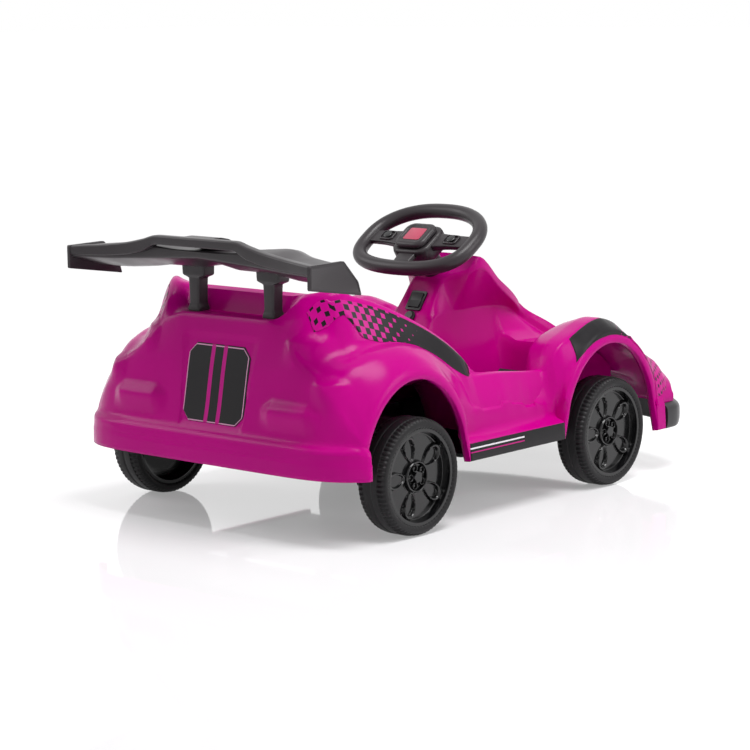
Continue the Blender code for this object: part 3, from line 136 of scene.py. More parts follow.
# %% Plastics of the kart
BODY_PINK = 0xC8008A
FINISH = {
    "body_pink": moulded("body_polypropylene_pink", BODY_PINK, 0xBA0080, 0.20, 9.0, 0.003, specular=0.09,
                         flow_mm=180.0),
    "grey_plastic": moulded("wing_polypropylene_grey", 0x363134, 0x2F2B2E, 0.32, 0.7, 0.012, specular=0.30),
    "bumper_black": moulded("bumper_polypropylene_black", 0x2A292B, 0x242325, 0.34, 0.8, 0.020, specular=0.35),
    "rim_black": moulded("cover_abs_gloss_black", 0x09090A, 0x0D0D0F, 0.14, 4.0, 0.006, specular=0.45),
    "tyre_black": moulded("tyre_eva_black", 0x1F1E20, 0x191819, 0.44, 0.6, 0.020, specular=0.20),
    "frame_black": moulded("frame_polypropylene_black", 0x1A1A1C, 0x151517, 0.45, 1.0, 0.030, specular=0.25),
    "switch_black": moulded("switch_nylon_black", 0x131315, 0x18181A, 0.30, 0.6, 0.012),
    "battery_case": moulded("battery_abs_blue_grey", 0x2A2F3A, 0x242932, 0.50, 1.2, 0.030),
    "foot_rubber": moulded("pedal_rubber_black", 0x1F1F20, 0x27272A, 0.75, 0.9, 0.060, specular=0.3),
    "badge_rose": moulded("badge_printed_rose", 0xC4506A, 0xB8465F, 0.34, 0.8, 0.010, specular=0.4, flow_mm=30.0)}
print("body pink:", [round(c, 3) for c in paint(BODY_PINK)[:3]])

# %% [markdown]
# ## Steel
# The axle, the steering rod, the tie bar, the pins and the motor cans are zinc-plated mild steel.
# Drawn steel keeps long fine scratches, so a noise stretched along the piece drives both roughness and bump.
# A metal's colour is its reflection, so the base colour is the plating's grey and the IOR stays at its default.

# %% Zinc-plated steel
def plated_steel(name, stretch):
    """Metal whose scratches are a noise squeezed across the piece: the coordinates are scaled by `stretch` first."""
    mat, tree, place = started(name)
    drawn_out = node(tree, "Mapping", {"Vector": place, "Scale": stretch})
    scratch = node(tree, "TexNoise", {"Vector": drawn_out, "Scale": per_mm(1.0), "Detail": 3.0})
    cloud = node(tree, "TexNoise", {"Vector": place, "Scale": per_mm(14.0), "Detail": 3.0})
    colour = node(tree, "Mix", {0: cloud, 6: paint(0xB4B6B8), 7: paint(0x9DA0A3)}, data_type="RGBA")
    gloss = node(tree, "MapRange", {"Value": scratch, "To Min": 0.22, "To Max": 0.42})
    relief = node(tree, "Bump", {"Height": scratch, "Distance": 0.00002, "Strength": 0.8})
    shader = node(tree, "BsdfPrincipled", {"Base Color": colour.outputs[2], "Roughness": gloss, "Normal": relief,
                                           "Metallic": 1.0})
    node(tree, "OutputMaterial", {"Surface": shader})
    return mat


FINISH["steel_across"] = plated_steel("zinc_plated_steel_across", (0.04, 1.0, 1.0))
FINISH["steel_upright"] = plated_steel("zinc_plated_steel_upright", (1.0, 1.0, 0.05))
print("finishes:", len(FINISH))

# %% [markdown]
# ## From points to a mesh
# Every new piece is a grid of points: rows along the piece and columns round or across it.
# Four neighbouring points make a quad. A grid that closes on itself is a solid, and its faces must point out,
# which the sign of its volume tells.
# Sharp corners would look like folded paper, so a row of corner points is first softened with short arcs.

# %% Grid helpers
def softened(points, radius, steps=3, closed=False):
    """Softens corners along the second last axis.

    Corner P becomes the arc (1-t)^2 a + 2t(1-t) P + t^2 b, where a and b lie `radius` from P towards its
    neighbours, but never past 0.48 of the way to them. An open line keeps its two ends.
    """
    points = np.asarray(points, float)
    size = np.broadcast_to(np.asarray(radius, float), points.shape[:-1])[..., None]
    sides = []
    for shift in (1, -1):
        way = np.roll(points, shift, -2) - points
        length = np.maximum(np.linalg.norm(way, axis=-1, keepdims=True), 1e-9)
        sides.append((points + way * np.minimum(size / length, 0.48))[..., None, :])
    t = np.linspace(0, 1, steps + 1)[:, None]
    arcs = (1 - t) ** 2 * sides[0] + 2 * t * (1 - t) * points[..., None, :] + t ** 2 * sides[1]
    if not closed:
        arcs[..., 0, :, :] = points[..., 0, None, :]
        arcs[..., -1, :, :] = points[..., -1, None, :]
    line = arcs.reshape(*points.shape[:-2], -1, points.shape[-1])
    return line if closed else line[..., steps:line.shape[-2] - steps, :]


def monotone(knots, values, at):
    """Monotone cubic through knots: a line that never overshoots its own points."""
    knots, values, at = np.asarray(knots, float), np.asarray(values, float), np.asarray(at, float)
    h = np.diff(knots)
    slope = np.diff(values) / h
    tangent = np.zeros(len(knots))
    same = slope[:-1] * slope[1:] > 0
    w1, w2 = 2 * h[1:] + h[:-1], h[1:] + 2 * h[:-1]
    a, b = np.where(same, slope[:-1], 1.0), np.where(same, slope[1:], 1.0)
    tangent[1:-1] = np.where(same, (w1 + w2) / (w1 / a + w2 / b), 0.0)
    tangent[0], tangent[-1] = slope[0], slope[-1]
    i = np.clip(np.searchsorted(knots, at, side="right") - 1, 0, len(h) - 1)
    t = (at - knots[i]) / h[i]
    return ((2 * t**3 - 3 * t**2 + 1) * values[i] + (t**3 - 2 * t**2 + t) * h[i] * tangent[i]
            + (-2 * t**3 + 3 * t**2) * values[i + 1] + (t**3 - t**2) * h[i] * tangent[i + 1])


def drawn(stations, sections, at):
    """Carries a ring of points along its stations: each coordinate follows its own monotone cubic."""
    flat = np.asarray(sections, float).reshape(len(stations), -1)
    fine = np.stack([monotone(stations, column, at) for column in flat.T], axis=1)
    return fine.reshape(len(at), *np.shape(sections)[1:])


def skin(grid, around=True, ends=False):
    """Points and faces over a grid; `around` closes each row, `ends` caps the first and last one."""
    grid = np.asarray(grid, float)
    rows, columns = grid.shape[:2]
    index = np.arange(rows * columns).reshape(rows, columns)
    wide = np.concatenate([index, index[:, :1]], axis=1) if around else index
    quads = np.stack([wide[:-1, :-1], wide[:-1, 1:], wide[1:, 1:], wide[1:, :-1]], axis=-1).reshape(-1, 4)
    points = grid.reshape(-1, 3)
    faces = quads.tolist()
    if ends:
        faces += [index[0, ::-1].tolist(), index[-1].tolist()]
    if around:
        centre = points.mean(0)
        a, b, c, d = (points[quads[:, k]] - centre for k in range(4))
        volume = (np.einsum("ij,ij->i", a, np.cross(b, c)) + np.einsum("ij,ij->i", a, np.cross(c, d))).sum()
        if volume < 0:
            faces = [face[::-1] for face in faces]
    return points, faces


def into_scene(name, data):
    """A new object in the scene, made from a mesh, a lamp or a camera."""
    made = bpy.data.objects.new(name, data)
    bpy.context.scene.collection.objects.link(made)
    return made


def piece(name, *skins, sharp=32.0, bevel=0.0):
    """One object of one or more skins: repeated points are merged, and edges under `sharp` degrees shade smooth."""
    points, faces, start = [], [], 0
    for p, f in skins:
        points.append(p)
        faces += [[i + start for i in face] for face in f]
        start += len(p)
    mesh = bpy.data.meshes.new(name)
    mesh.from_pydata(np.concatenate(points).tolist(), [], faces)
    bm = bmesh.new()
    bm.from_mesh(mesh)
    bmesh.ops.remove_doubles(bm, verts=bm.verts, dist=1e-6)
    bm.to_mesh(mesh)
    bm.free()
    mesh.shade_smooth()
    mesh.set_sharp_from_angle(angle=math.radians(sharp))
    made = into_scene(name, mesh)
    if bevel:
        rim = made.modifiers.new("rim", "BEVEL")
        rim.width, rim.segments, rim.limit_method, rim.angle_limit = bevel, 3, "ANGLE", math.radians(40)
    return made


def fit(made, body, slot, *stands_for, finish=None):
    """Gives a piece its slot's finish, lets it ride on its body and hides the CAD nodes it stands for."""
    made.data.materials.clear()
    made.data.materials.append(finish or FINISH[slot])
    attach(made, body)
    if stands_for:
        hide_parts(*stands_for)
    print(f"{made.name}: {len(made.data.polygons)} faces on {body}")
    return made


def turned(profile, steps):
    """A profile of (radius, height) carried round: x = r cos a, y = r sin a, z = height."""
    profile = np.asarray(profile, float)
    a = np.linspace(0, 2 * math.pi, steps, endpoint=False)
    r, h = profile[:, :1], profile[:, 1:]
    return np.stack([r * np.cos(a), r * np.sin(a), h + 0 * a], axis=-1)


def placed(points, origin, x_axis, y_axis, z_axis):
    """Moves points from a piece's own axes into the kart's: origin + x X + y Y + z Z."""
    points = np.asarray(points, float)
    return np.asarray(origin, float) + points @ np.array([x_axis, y_axis, z_axis], float)

# %% [markdown]
# ## The body shell
# The pink body is one moulding: hood, dashboard, footwells, seat, fenders and tail in a single 3 mm wall.
# Such a form is drawn with feature lines that run from nose to tail, the way a body designer does it:
# the middle of the hood, the edge of the hood, the foot of its side, the seat rim, the fender crown and so on.
# Each line is a short list of (station, x, z) in millimetres; the skin is what hangs between neighbouring lines.

# %% Feature lines from the nose to the tail
LINES_MM = {
    "centre": [(-488, 0, 110), (-469, 0, 149), (-432, 0, 189), (-399, 0, 215), (-340, 0, 258), (-275, 0, 300),
        (-269, 0, 308), (-201, 0, 351), (-133, 0, 397), (-113, 0, 376), (-83, 0, 355), (-70, 0, 337.1), (-41, 0, 297),
        (-1, 0, 242), (43, 0, 197), (95, 0, 203), (180, 0, 199), (262, 0, 205), (300, 0, 250), (330, 0, 315),
        (350, 0, 368), (360, 0, 380), (372, 0, 376), (384, 0, 342.5), (400, 0, 342.5), (427, 0, 342.5), (446, 0, 260),
        (458, 0, 195), (466, 0, 163), (474, 0, 157), (479.5, 0, 150), (481, 0, 108)],
    "hood edge": [(-488, 130, 110), (-469, 130, 147), (-432, 125, 185), (-399, 110, 211), (-340, 80, 254),
        (-275, 56, 298), (-269, 57, 305), (-201, 70, 348), (-133, 76, 394), (-113, 70, 374), (-83, 30, 354),
        (-70, 29, 337), (-41, 28, 297), (-1, 28, 242), (43, 35, 197), (95, 50, 203), (180, 55, 200), (262, 55, 206),
        (300, 55, 250), (330, 55, 315), (350, 55, 368), (360, 55, 380), (372, 55, 376), (384, 55, 342.5),
        (400, 55, 342.5), (427, 50, 342.5), (446, 45, 260), (458, 42, 195), (466, 43, 163), (474, 45, 157),
        (479.5, 45, 150), (481, 45, 108)],
    "ridge foot": [(-488, 152, 111), (-469, 152, 143), (-432, 142, 175), (-399, 118, 196), (-340, 86, 238),
        (-275, 59, 284), (-269, 61, 288), (-201, 73, 330), (-133, 79, 374), (-113, 72, 364), (-83, 36, 349),
        (-70, 36, 334), (-41, 36, 297), (-1, 37, 241), (43, 55, 194), (95, 95, 204), (180, 100, 202), (262, 100, 208),
        (300, 98, 251), (330, 97, 315), (350, 96, 368), (360, 96, 380), (372, 99, 376), (384, 99, 342.5),
        (400, 99, 342.5), (427, 95, 342.5), (446, 82, 260), (458, 72, 195), (466, 72, 163), (474, 75, 157),
        (479.5, 75, 150), (481, 75, 108)],
    "crease": [(-488, 172, 112), (-469, 172, 140), (-432, 158, 167), (-399, 128, 186), (-340, 88, 222),
        (-275, 56, 270), (-250, 50, 290), (-201, 50, 298), (-133, 50, 299), (-83, 50, 299), (-41, 49, 292),
        (-1, 50, 238), (43, 75, 190), (95, 130, 206), (180, 135, 207), (262, 133, 214), (300, 128, 254),
        (330, 126, 316), (350, 124, 368), (360, 120, 380), (372, 112, 378), (384, 106, 354), (400, 105, 347),
        (427, 101, 341), (446, 98, 262), (458, 96, 196), (466, 100, 163), (474, 105, 157), (479.5, 105, 150),
        (481, 105, 108)],
    "wall": [(-488, 190, 113), (-469, 190, 138), (-432, 175, 161), (-399, 142, 177), (-340, 102, 213),
        (-275, 74, 250), (-218, 64, 250), (-198, 60, 226), (-133, 60, 222), (-83, 61, 221), (-41, 62, 221),
        (-1, 64, 220), (43, 90, 172), (66, 120, 172), (95, 155, 214), (180, 158, 220), (262, 153, 228),
        (300, 147, 262), (330, 143, 320), (350, 141, 369), (360, 136, 381), (372, 127, 381), (384, 119, 370),
        (400, 115, 357), (427, 112, 336), (446, 112, 264), (458, 122, 197), (466, 128, 163), (474, 135, 157),
        (479.5, 135, 150), (481, 135, 108)],
    "foot": [(-488, 206, 114), (-469, 206, 137), (-432, 190, 157), (-399, 162, 171), (-340, 128, 209),
        (-275, 103, 236), (-218, 96, 236), (-198, 82, 126), (-133, 80, 126), (-41, 80, 126), (-1, 83, 126),
        (43, 105, 126), (66, 140, 128), (95, 176, 226), (180, 180, 258), (262, 172, 276), (300, 164, 302),
        (330, 157, 338), (350, 154, 374), (360, 148, 383), (372, 138, 383), (384, 130, 379), (400, 126, 364),
        (427, 122, 331), (446, 127, 266), (458, 150, 197), (466, 157, 163), (474, 165, 157), (479.5, 165, 150),
        (481, 165, 108)],
    "valley": [(-488, 221, 115), (-469, 221, 138), (-432, 208, 157), (-399, 187, 171), (-340, 168, 209),
        (-275, 156, 238), (-218, 152, 238), (-198, 150, 126), (-133, 160, 126), (-41, 186, 126), (43, 200, 126),
        (66, 200, 128), (95, 204, 226), (126, 206, 250), (180, 203, 288), (262, 190, 327), (300, 182, 345),
        (330, 174, 362), (350, 168, 380), (360, 162, 386), (372, 152, 385), (384, 142, 383), (400, 138, 367),
        (427, 133, 327), (446, 145, 267), (458, 178, 197), (466, 186, 163), (474, 195, 157), (479.5, 195, 150),
        (481, 195, 108)],
    "inner wall": [(-488, 236, 117), (-469, 236, 141), (-432, 225, 161), (-399, 212, 176), (-340, 197, 213),
        (-275, 190, 242), (-218, 187, 248), (-198, 184, 140), (-133, 187, 140), (-83, 200, 140), (-41, 213, 140),
        (43, 222, 142), (66, 224, 144), (95, 229, 226), (126, 225, 265), (180, 219, 303), (262, 202, 349),
        (300, 193, 366), (330, 184, 377), (350, 177, 387), (360, 172, 390), (372, 164, 388), (384, 155, 382),
        (400, 150, 364), (427, 144, 322), (446, 163, 266), (458, 200, 197), (466, 210, 163), (474, 220, 157),
        (479.5, 221, 150), (481, 221, 108)],
    "shoulder": [(-488, 250, 119), (-469, 250, 146), (-432, 243, 168), (-399, 236, 187), (-340, 226, 222),
        (-275, 216, 260), (-218, 209, 280), (-150, 207, 268), (-103, 212, 248), (-83, 226, 226), (-70, 238, 213),
        (-41, 242, 215), (43, 243, 224), (95, 241, 231.5), (126, 237, 270), (180, 230, 309), (262, 212, 354),
        (300, 202, 370), (330, 193, 380), (350, 188, 387), (360, 184, 388), (372, 177, 384), (384, 168, 376),
        (400, 160, 356), (427, 153, 315), (446, 181, 265), (458, 220, 198), (466, 231, 163), (474, 243, 157),
        (479.5, 245, 150), (481, 245, 108)],
    "inner crown": [(-488, 265, 122), (-469, 265, 152), (-432, 260, 173), (-399, 256, 192), (-357, 252, 213),
        (-289, 250, 256), (-241, 250, 285), (-210, 250, 293), (-187, 250, 290), (-153, 250, 279), (-103, 250, 260),
        (-83, 252, 239), (-70, 255, 218), (43, 256, 228.5), (95, 252, 233.5), (126, 247, 262), (180, 241, 300),
        (262, 222, 343), (300, 212, 358), (330, 204, 366), (350, 198, 370), (360, 195, 370), (372, 189, 363),
        (384, 184, 342), (400, 177, 319), (427, 166, 297), (446, 199, 262), (458, 237, 198), (466, 250, 163),
        (474, 262, 157), (479.5, 265, 150), (481, 266, 108)],
    "edge": [(-488, 279, 128), (-469, 280, 157), (-432, 280, 175), (-399, 280, 190), (-357, 280, 210),
        (-289, 280, 256), (-241, 280, 286), (-210, 280, 293), (-187, 280, 290), (-153, 280, 279), (-103, 278, 258),
        (-83, 273, 238), (-70, 267, 218), (43, 267, 226.5), (126, 264, 230), (150, 257, 242), (198, 246, 274),
        (245, 239, 294), (296, 234, 302), (347, 228, 300), (372, 220, 296), (384, 216, 290), (400, 214, 285),
        (427, 214, 270), (446, 222, 256), (458, 252, 199), (466, 266, 163), (474, 279, 157), (479.5, 282, 150),
        (481, 284, 108)],
    "crown": [(-488, 288, 130), (-469, 288, 155), (-432, 289, 170), (-399, 289, 181), (-357, 290, 198),
        (-289, 292, 246), (-241, 294, 276), (-210, 294, 283), (-187, 294, 280), (-153, 292, 267), (-103, 287, 237),
        (-83, 280, 214), (-70, 269.5, 196), (-38, 271, 169), (33, 274, 177), (126, 273, 182), (150, 268, 222),
        (198, 266, 266), (245, 263, 292), (296, 259, 302), (347, 257, 297), (384, 255, 285), (400, 252, 279),
        (427, 247, 262), (446, 253, 232), (458, 270, 194), (466, 280, 163), (474, 289, 157), (479.5, 292, 150),
        (481, 294, 108)],
    "face": [(-488, 295, 131), (-469, 295, 150), (-432, 297, 158), (-399, 298, 164), (-357, 299, 180),
        (-325, 301, 209), (-289, 302, 240), (-241, 303, 269), (-210, 303, 273), (-187, 303, 270), (-153, 301, 256),
        (-110, 295, 219), (-83, 286, 180), (-70, 277, 161), (-38, 277, 165), (33, 277, 173), (126, 278, 178),
        (160, 281, 190), (198, 285, 232), (245, 287, 269), (296, 286, 286), (347, 285, 277), (384, 282, 259),
        (400, 280, 248), (427, 277, 227), (446, 278, 204), (458, 285, 184), (466, 291, 162), (474, 297, 157),
        (479.5, 301, 150), (481, 303, 108)]}
LINES = [np.array(rows) / 1000 for rows in LINES_MM.values()]
print("feature lines:", len(LINES))

# %% [markdown]
# Under the last line the wall turns in over the wheel arches, the door skirt, the bumper tab and the tail lip.
# Those edges follow an ellipse over each wheel and straight runs elsewhere, four points from face to flange.
# Nose and tail are rounded in plan, so the outer lines lag behind the middle of the nose and wrap the tail.

# %% Lower edge, nose and tail rounding
WHEEL_R, FRONT_AXLE_Y, REAR_AXLE_Y = 0.095, -0.217, 0.301
ARCH_FRONT = (FRONT_AXLE_Y, 0.130, 0.155, 0.305)  # middle, half length, height, x of the fender's face
ARCH_REAR = (REAR_AXLE_Y + 0.001, 0.126, 0.156, 0.302)
ARCH_RUNS = ((-0.3460, -0.099, ARCH_FRONT), (0.187, 0.400, ARCH_REAR))
ARCH_END = math.radians(12.2)
NOSE_LAG = np.array([(-0.488, 0.065), (-0.469, 0.051), (-0.432, 0.022), (-0.399, 0.011), (-0.3735, 0.0), (0.5, 0.0)])
TAIL_LAG = np.array([(-0.5, 0.0), (0.384, 0.0), (0.427, 0.022), (0.458, 0.046), (0.4810, 0.055)])
TAIL_HALF_WIDTH = 0.313
NOSE_END, EDGE_LAG = -0.3755, 1.15  # where the nose edge ends, and how much more it lags than the skin
EDGE_RUNS = [  # (station, shape below, arch, or angle in degrees on the rear arch)
    (-0.488, "nose"), (NOSE_END, "nose"), (-0.3715, "tab"), (-0.3480, "tab"), (-0.3460, "front"), (-0.099, "front"),
    (-0.0845, "skirt"), (0.1725, "skirt"), (0.187, "rear"), (0.400, "rear"), (0.427, 33.0), (0.446, 28.0),
    (0.458, 24.5), (0.466, 23.0), (0.474, "lip_a"), (0.4795, "lip_b"), (0.4810, "lip_c")]
EDGE_SHAPES = {  # four (x, y, z) points; y counts from the station, but in the lip from the kart's middle
    "nose": [(0.298, 0, 0.140), (0.299, 0, 0.130), (0.297, 0, 0.114), (0.285, 0, 0.114)],
    "tab": [(0.303, 0, 0.136), (0.309, 0, 0.122), (0.3115, 0, 0.079), (0.2985, 0, 0.077)],
    "skirt": [(0.281, 0, 0.137), (0.3015, 0, 0.130), (0.303, 0, 0.100), (0.290, 0, 0.099)],
    "lip_a": [(0.302, 0.4330, 0.156), (0.306, 0.4270, 0.1545), (0.307, 0.4205, 0.152), (0.294, 0.4205, 0.152)],
    "lip_b": [(0.305, 0.4345, 0.148), (0.309, 0.4285, 0.147), (0.310, 0.4220, 0.145), (0.297, 0.4220, 0.144)],
    "lip_c": [(0.307, 0.4345, 0.108), (0.311, 0.4290, 0.108), (0.311, 0.4225, 0.1085), (0.298, 0.4225, 0.108)]}
ARCH_OFFSETS = np.array([(0.016, 0.0025), (0.007, 0.0), (0.0, 0.001), (0.0, 0.014)])


def arch_points(u, arch, angle=None):
    """Ellipse over a wheel: y = c + (half + out) cos a, z = wheel radius + (high + out) sin a, at four offsets."""
    centre, half, high, x = arch
    if angle is None:
        angle = np.arccos(np.clip((u - centre) / half, -1, 1))
    angle = np.clip(angle, ARCH_END, math.pi - ARCH_END)[..., None]
    out, inset = ARCH_OFFSETS.T
    return np.stack(np.broadcast_arrays(x - inset, centre + (half + out) * np.cos(angle),
                                        WHEEL_R + (high + out) * np.sin(angle)), axis=-1)


def edge_shape(station, kind):
    """The four edge points at one station of the runs above."""
    if kind in ("front", "rear"):
        return arch_points(np.array(station), ARCH_FRONT if kind == "front" else ARCH_REAR)
    if isinstance(kind, float):
        return arch_points(np.array(station), ARCH_REAR, np.array(math.radians(kind)))
    own_y, lag = kind.startswith("lip"), monotone(*NOSE_LAG.T, [station])[0] * EDGE_LAG
    return np.array([(x, y if own_y else station + y + lag, z) for x, y, z in EDGE_SHAPES[kind]])


def edge_points(u):
    """Lower edge at stations u: straight between the runs above, and the exact ellipse over the wheels."""
    stations = np.array([s for s, _ in EDGE_RUNS])
    shapes = np.array([edge_shape(s, kind) for s, kind in EDGE_RUNS])
    i = np.clip(np.searchsorted(stations, u, side="right") - 1, 0, len(stations) - 2)
    t = ((u - stations[i]) / (stations[i + 1] - stations[i]))[:, None, None]
    edge = shapes[i] * (1 - t) + shapes[i + 1] * t
    nose = (u < NOSE_END)[:, None]
    edge[..., 1] = np.where(nose, u[:, None] + monotone(*NOSE_LAG.T, u)[:, None] * EDGE_LAG, edge[..., 1])
    for low, high, arch in ARCH_RUNS:
        over = ((u >= low) & (u <= high))[:, None, None]
        edge = np.where(over, arch_points(u, arch), edge)
    return edge


TAIL_FROM, FOLD_HALF = 0.384, 0.002


def followed(line, u, crisp):
    """A feature line at stations u: a monotone cubic, which on the tail gives way to straight runs.

    The straight runs are averaged over 4 mm, so that the tail's facets meet in a small moulded radius.
    """
    smooth = np.stack([monotone(line[:, 0], line[:, k], u) for k in (1, 2)], axis=-1)
    near = u[:, None] + np.minimum(line[-1, 0] - u, FOLD_HALF)[:, None] * np.linspace(-1, 1, 9)
    straight = np.stack([np.interp(near, line[:, 0], line[:, k]).mean(1) for k in (1, 2)], axis=-1)
    share = crisp * (u[:, None] > TAIL_FROM)
    return smooth * (1 - share) + straight * share


def ramp(value, start, width):
    """Smooth step: 0 below start, 1 above start + width, 3t^2 - 2t^3 between."""
    t = np.clip((value - start) / width, 0, 1)
    return t * t * (3 - 2 * t)


DOOR_STEP = np.array([(-0.052, 0.0), (-0.038, 0.001), (-0.035, -0.004), (-0.008, -0.006), (-0.003, -0.001),
                      (0.028, 0.0), (0.033, 0.004), (0.052, 0.004), (0.057, -0.003), (0.106, -0.004),
                      (0.113, 0.0)]).T  # (station, rise of the moulded step)
NOSE_DRAW = np.array([0.010, 0.010, 0.007, 0.003])  # how far lines 9 to 12 are drawn in at the nose
CRISP_LINES, STEP_LINES, NOSE_LINES = 7, slice(11, 13), slice(9, 13)


def shell_rows(u):
    """Half sections at stations u: the 13 feature lines, then the four edge points, as [station, line, xyz].

    The step along the door zigzags, so its two lines go up and down by a few millimetres; the nose is drawn in.
    """
    u = np.asarray(u, float)
    lines = np.stack([followed(line, u, k < CRISP_LINES) for k, line in enumerate(LINES)], axis=1)
    x, z = np.moveaxis(lines, -1, 0).copy()
    z[:, STEP_LINES] += np.interp(u, *DOOR_STEP)[:, None]
    x[:, NOSE_LINES] -= NOSE_DRAW * (1 - ramp(u, -0.432, 0.040))[:, None]
    y = (u[:, None] + monotone(*NOSE_LAG.T, u)[:, None] * (x / 0.28) ** 2
         - monotone(*TAIL_LAG.T, u)[:, None] * (x / TAIL_HALF_WIDTH) ** 8)
    return np.concatenate([np.stack([x, y, z], axis=-1), edge_points(u)], axis=1)


print("half width at the rear axle, mm:", (shell_rows([REAR_AXLE_Y])[0, :, 0].max() * 1000).round(1))

# %% [markdown]
# The skin is sampled where it bends: every gap between two stations is split into steps of about 15 mm, or
# 5.5 mm on the tail, and wide strips between two feature lines are split across as well.
# The corners across the body get their moulding radii in millimetres, one for each line: small ones at the hood
# step and the skirt, up to 22 mm on the soft rear fenders, and about 1 mm at the step along the door.

# %% The fine skin
marked = {point[0] for line in LINES for point in line} | {s for s, _ in EDGE_RUNS}
folds = {round(k + d, 4) for k in marked if 0.39 < k < 0.4794 for d in (-FOLD_HALF, FOLD_HALF)}
KNOTS = sorted(marked | folds | set(DOOR_STEP[0]))
CORNER_RADII = np.array([30, 4, 3, 4, 6, 6, 8, 6, 5, 6, 6, 12, 10, 6, 3, 2, 2]) / 1000.0
TAIL_RADII = np.array([30, 5, 3, 3, 6, 14, 14, 7, 6, 18, 22, 16, 14, 8, 3, 2, 2]) / 1000.0
DOOR_RADII = np.array([30, 4, 3, 4, 6, 6, 8, 6, 5, 4, 3, 1.2, 1.2, 10, 3, 2, 2]) / 1000.0
ROW_STEP, TAIL_STEP, ACROSS_STEP, FINE_FROM = 0.015, 0.0055, 0.0100, 0.40


def fine_stations():
    """Stations between the knots, so that no point moves much more than the row step from one to the next.

    On the tail the finer step is measured on the inner lines, where the ledges are.
    """
    out = []
    for a, b in zip(KNOTS[:-1], KNOTS[1:]):
        probe = shell_rows(np.linspace(a, b, 9))
        travel = np.linalg.norm(np.diff(probe, axis=0), axis=-1).sum(0)
        count = travel[:9].max() / TAIL_STEP if a >= FINE_FROM else travel.max() / ROW_STEP
        out.append(np.linspace(a, b, max(1, round(count)) + 1)[:-1])
    return np.concatenate([*out, [KNOTS[-1]]])


def full_width(half):
    """Both halves of the body as one row of points: the mirrored half reversed, then the half itself."""
    return np.concatenate([half[:, :0:-1] * (-1, 1, 1), half], axis=1)


STATIONS = fine_stations()
ARC, SHELL_LINES = 3, len(CORNER_RADII)
# Each row of points gets its radii: the tail's and the door's fade in over the stations given here.
at_tail = ramp(STATIONS, 0.29, 0.08)[:, None]
at_door = (ramp(STATIONS, -0.072, 0.004) * (1 - ramp(STATIONS, 0.122, 0.006)))[:, None]
radii = CORNER_RADII * (1 - at_tail - at_door) + TAIL_RADII * at_tail + DOOR_RADII * at_door
SHELL = softened(full_width(shell_rows(STATIONS)), np.concatenate([radii[:, :0:-1], radii], axis=1), ARC)
# ACROSS says where each column lies, counted in lines from the middle; a line's arc spans 0.45 to either side.
LAST_LINE = SHELL_LINES - 1
inner_lines = np.arange(1 - LAST_LINE, LAST_LINE)[:, None] + np.linspace(-0.45, 0.45, ARC + 1)
ACROSS = np.concatenate([[-LAST_LINE], inner_lines.ravel(), [LAST_LINE]])
# Strips that are wide on the tail are split across into steps of about a centimetre.
gaps = np.linalg.norm(np.diff(SHELL[STATIONS > FINE_FROM], axis=1), axis=-1).max(0)
splits = np.ceil(gaps / ACROSS_STEP).astype(int)
columns = np.concatenate([j + np.arange(n) / n for j, n in enumerate(splits)] + [[len(gaps)]])
left = np.minimum(columns.astype(int), len(gaps) - 1)
share = (columns - left)[None, :, None]
SHELL = SHELL[:, left] * (1 - share) + SHELL[:, left + 1] * share
ACROSS = np.interp(columns, np.arange(len(ACROSS)), ACROSS)
print("skin grid:", SHELL.shape)

# %% [markdown]
# The tail and the tunnel carry shallow moulded steps that stiffen the wall. They are added to the grid as a
# displacement. Each ledge on the tail is a slanted facet: the wall below it stands out by the ledge's depth and
# sinks back further down, and height and depth run out to nothing at the two ends. A plate's place is pressed in.

# %% Moulded steps on the tail and the tunnel
def window(value, low, high, soft):
    """1 between low and high, fading to 0 over `soft` outside them."""
    return ramp(value, low - soft, soft) * (1 - ramp(value, high, soft))


LEDGES = [  # |x| of inner and outer end, z of the lower edge, height, depth, height over which it sinks back
    (0.106, 0.232, 0.2075, 0.0160, 0.0115, 0.040), (0.206, 0.264, 0.2540, 0.0130, 0.0075, 0.050),
    (0.140, 0.208, 0.3130, 0.0160, 0.0090, 0.050)]
LEDGE_RUNOUT, LIP_STEP, PRESSED = 0.024, 0.0011, 0.0025


def outward(points):
    """Level direction out of the skin at each grid point: the cross product of the two grid steps, without its z."""
    normal = np.cross(np.gradient(points, axis=1), np.gradient(points, axis=0))
    normal[..., 2] = 0
    return normal / np.maximum(np.linalg.norm(normal, axis=-1, keepdims=True), 1e-9)


def tail_steps(points):
    """How far the tail stands out at each point: three ledges a side and the lip's lower half, less the plate."""
    x, y, z = np.abs(points[..., 0]), points[..., 1], points[..., 2]
    steps = 0
    for inner, outer, low, height, depth, fall in LEDGES:
        share = np.clip(np.minimum(x - inner, outer - x) / LEDGE_RUNOUT, 1e-6, 1)
        facet = np.clip((low + height * share - z) / (height * share), 0, 1)
        steps = steps + depth * share * facet * ramp(z, low - fall, fall)
    steps = steps * ramp(y, 0.372, 0.012)
    half = 0.068 + 0.07 * (z - 0.170)  # the plate's place widens a little towards its top
    plate = window(x, 0, half, 0.003) * ramp(z, 0.1665, 0.003) * (1 - ramp(z, 0.305, 0.010))
    lower_lip = LIP_STEP * (1 - ramp(z, 0.1335, 0.0016)) * ramp(y, 0.40, 0.01)
    return steps - PRESSED * plate * ramp(y, 0.425, 0.004) + lower_lip


def tunnel_panel(points):
    """A shallow rounded panel pressed into the floor between the legs, with a rib across its middle."""
    x, y, z = np.abs(points[..., 0]), points[..., 1], points[..., 2]
    on_floor = window(z, 0.17, 0.212, 0.004)
    return on_floor * window(x, 0.0, 0.042, 0.004) * (window(y, 0.10, 0.128, 0.004) + window(y, 0.140, 0.168, 0.004))


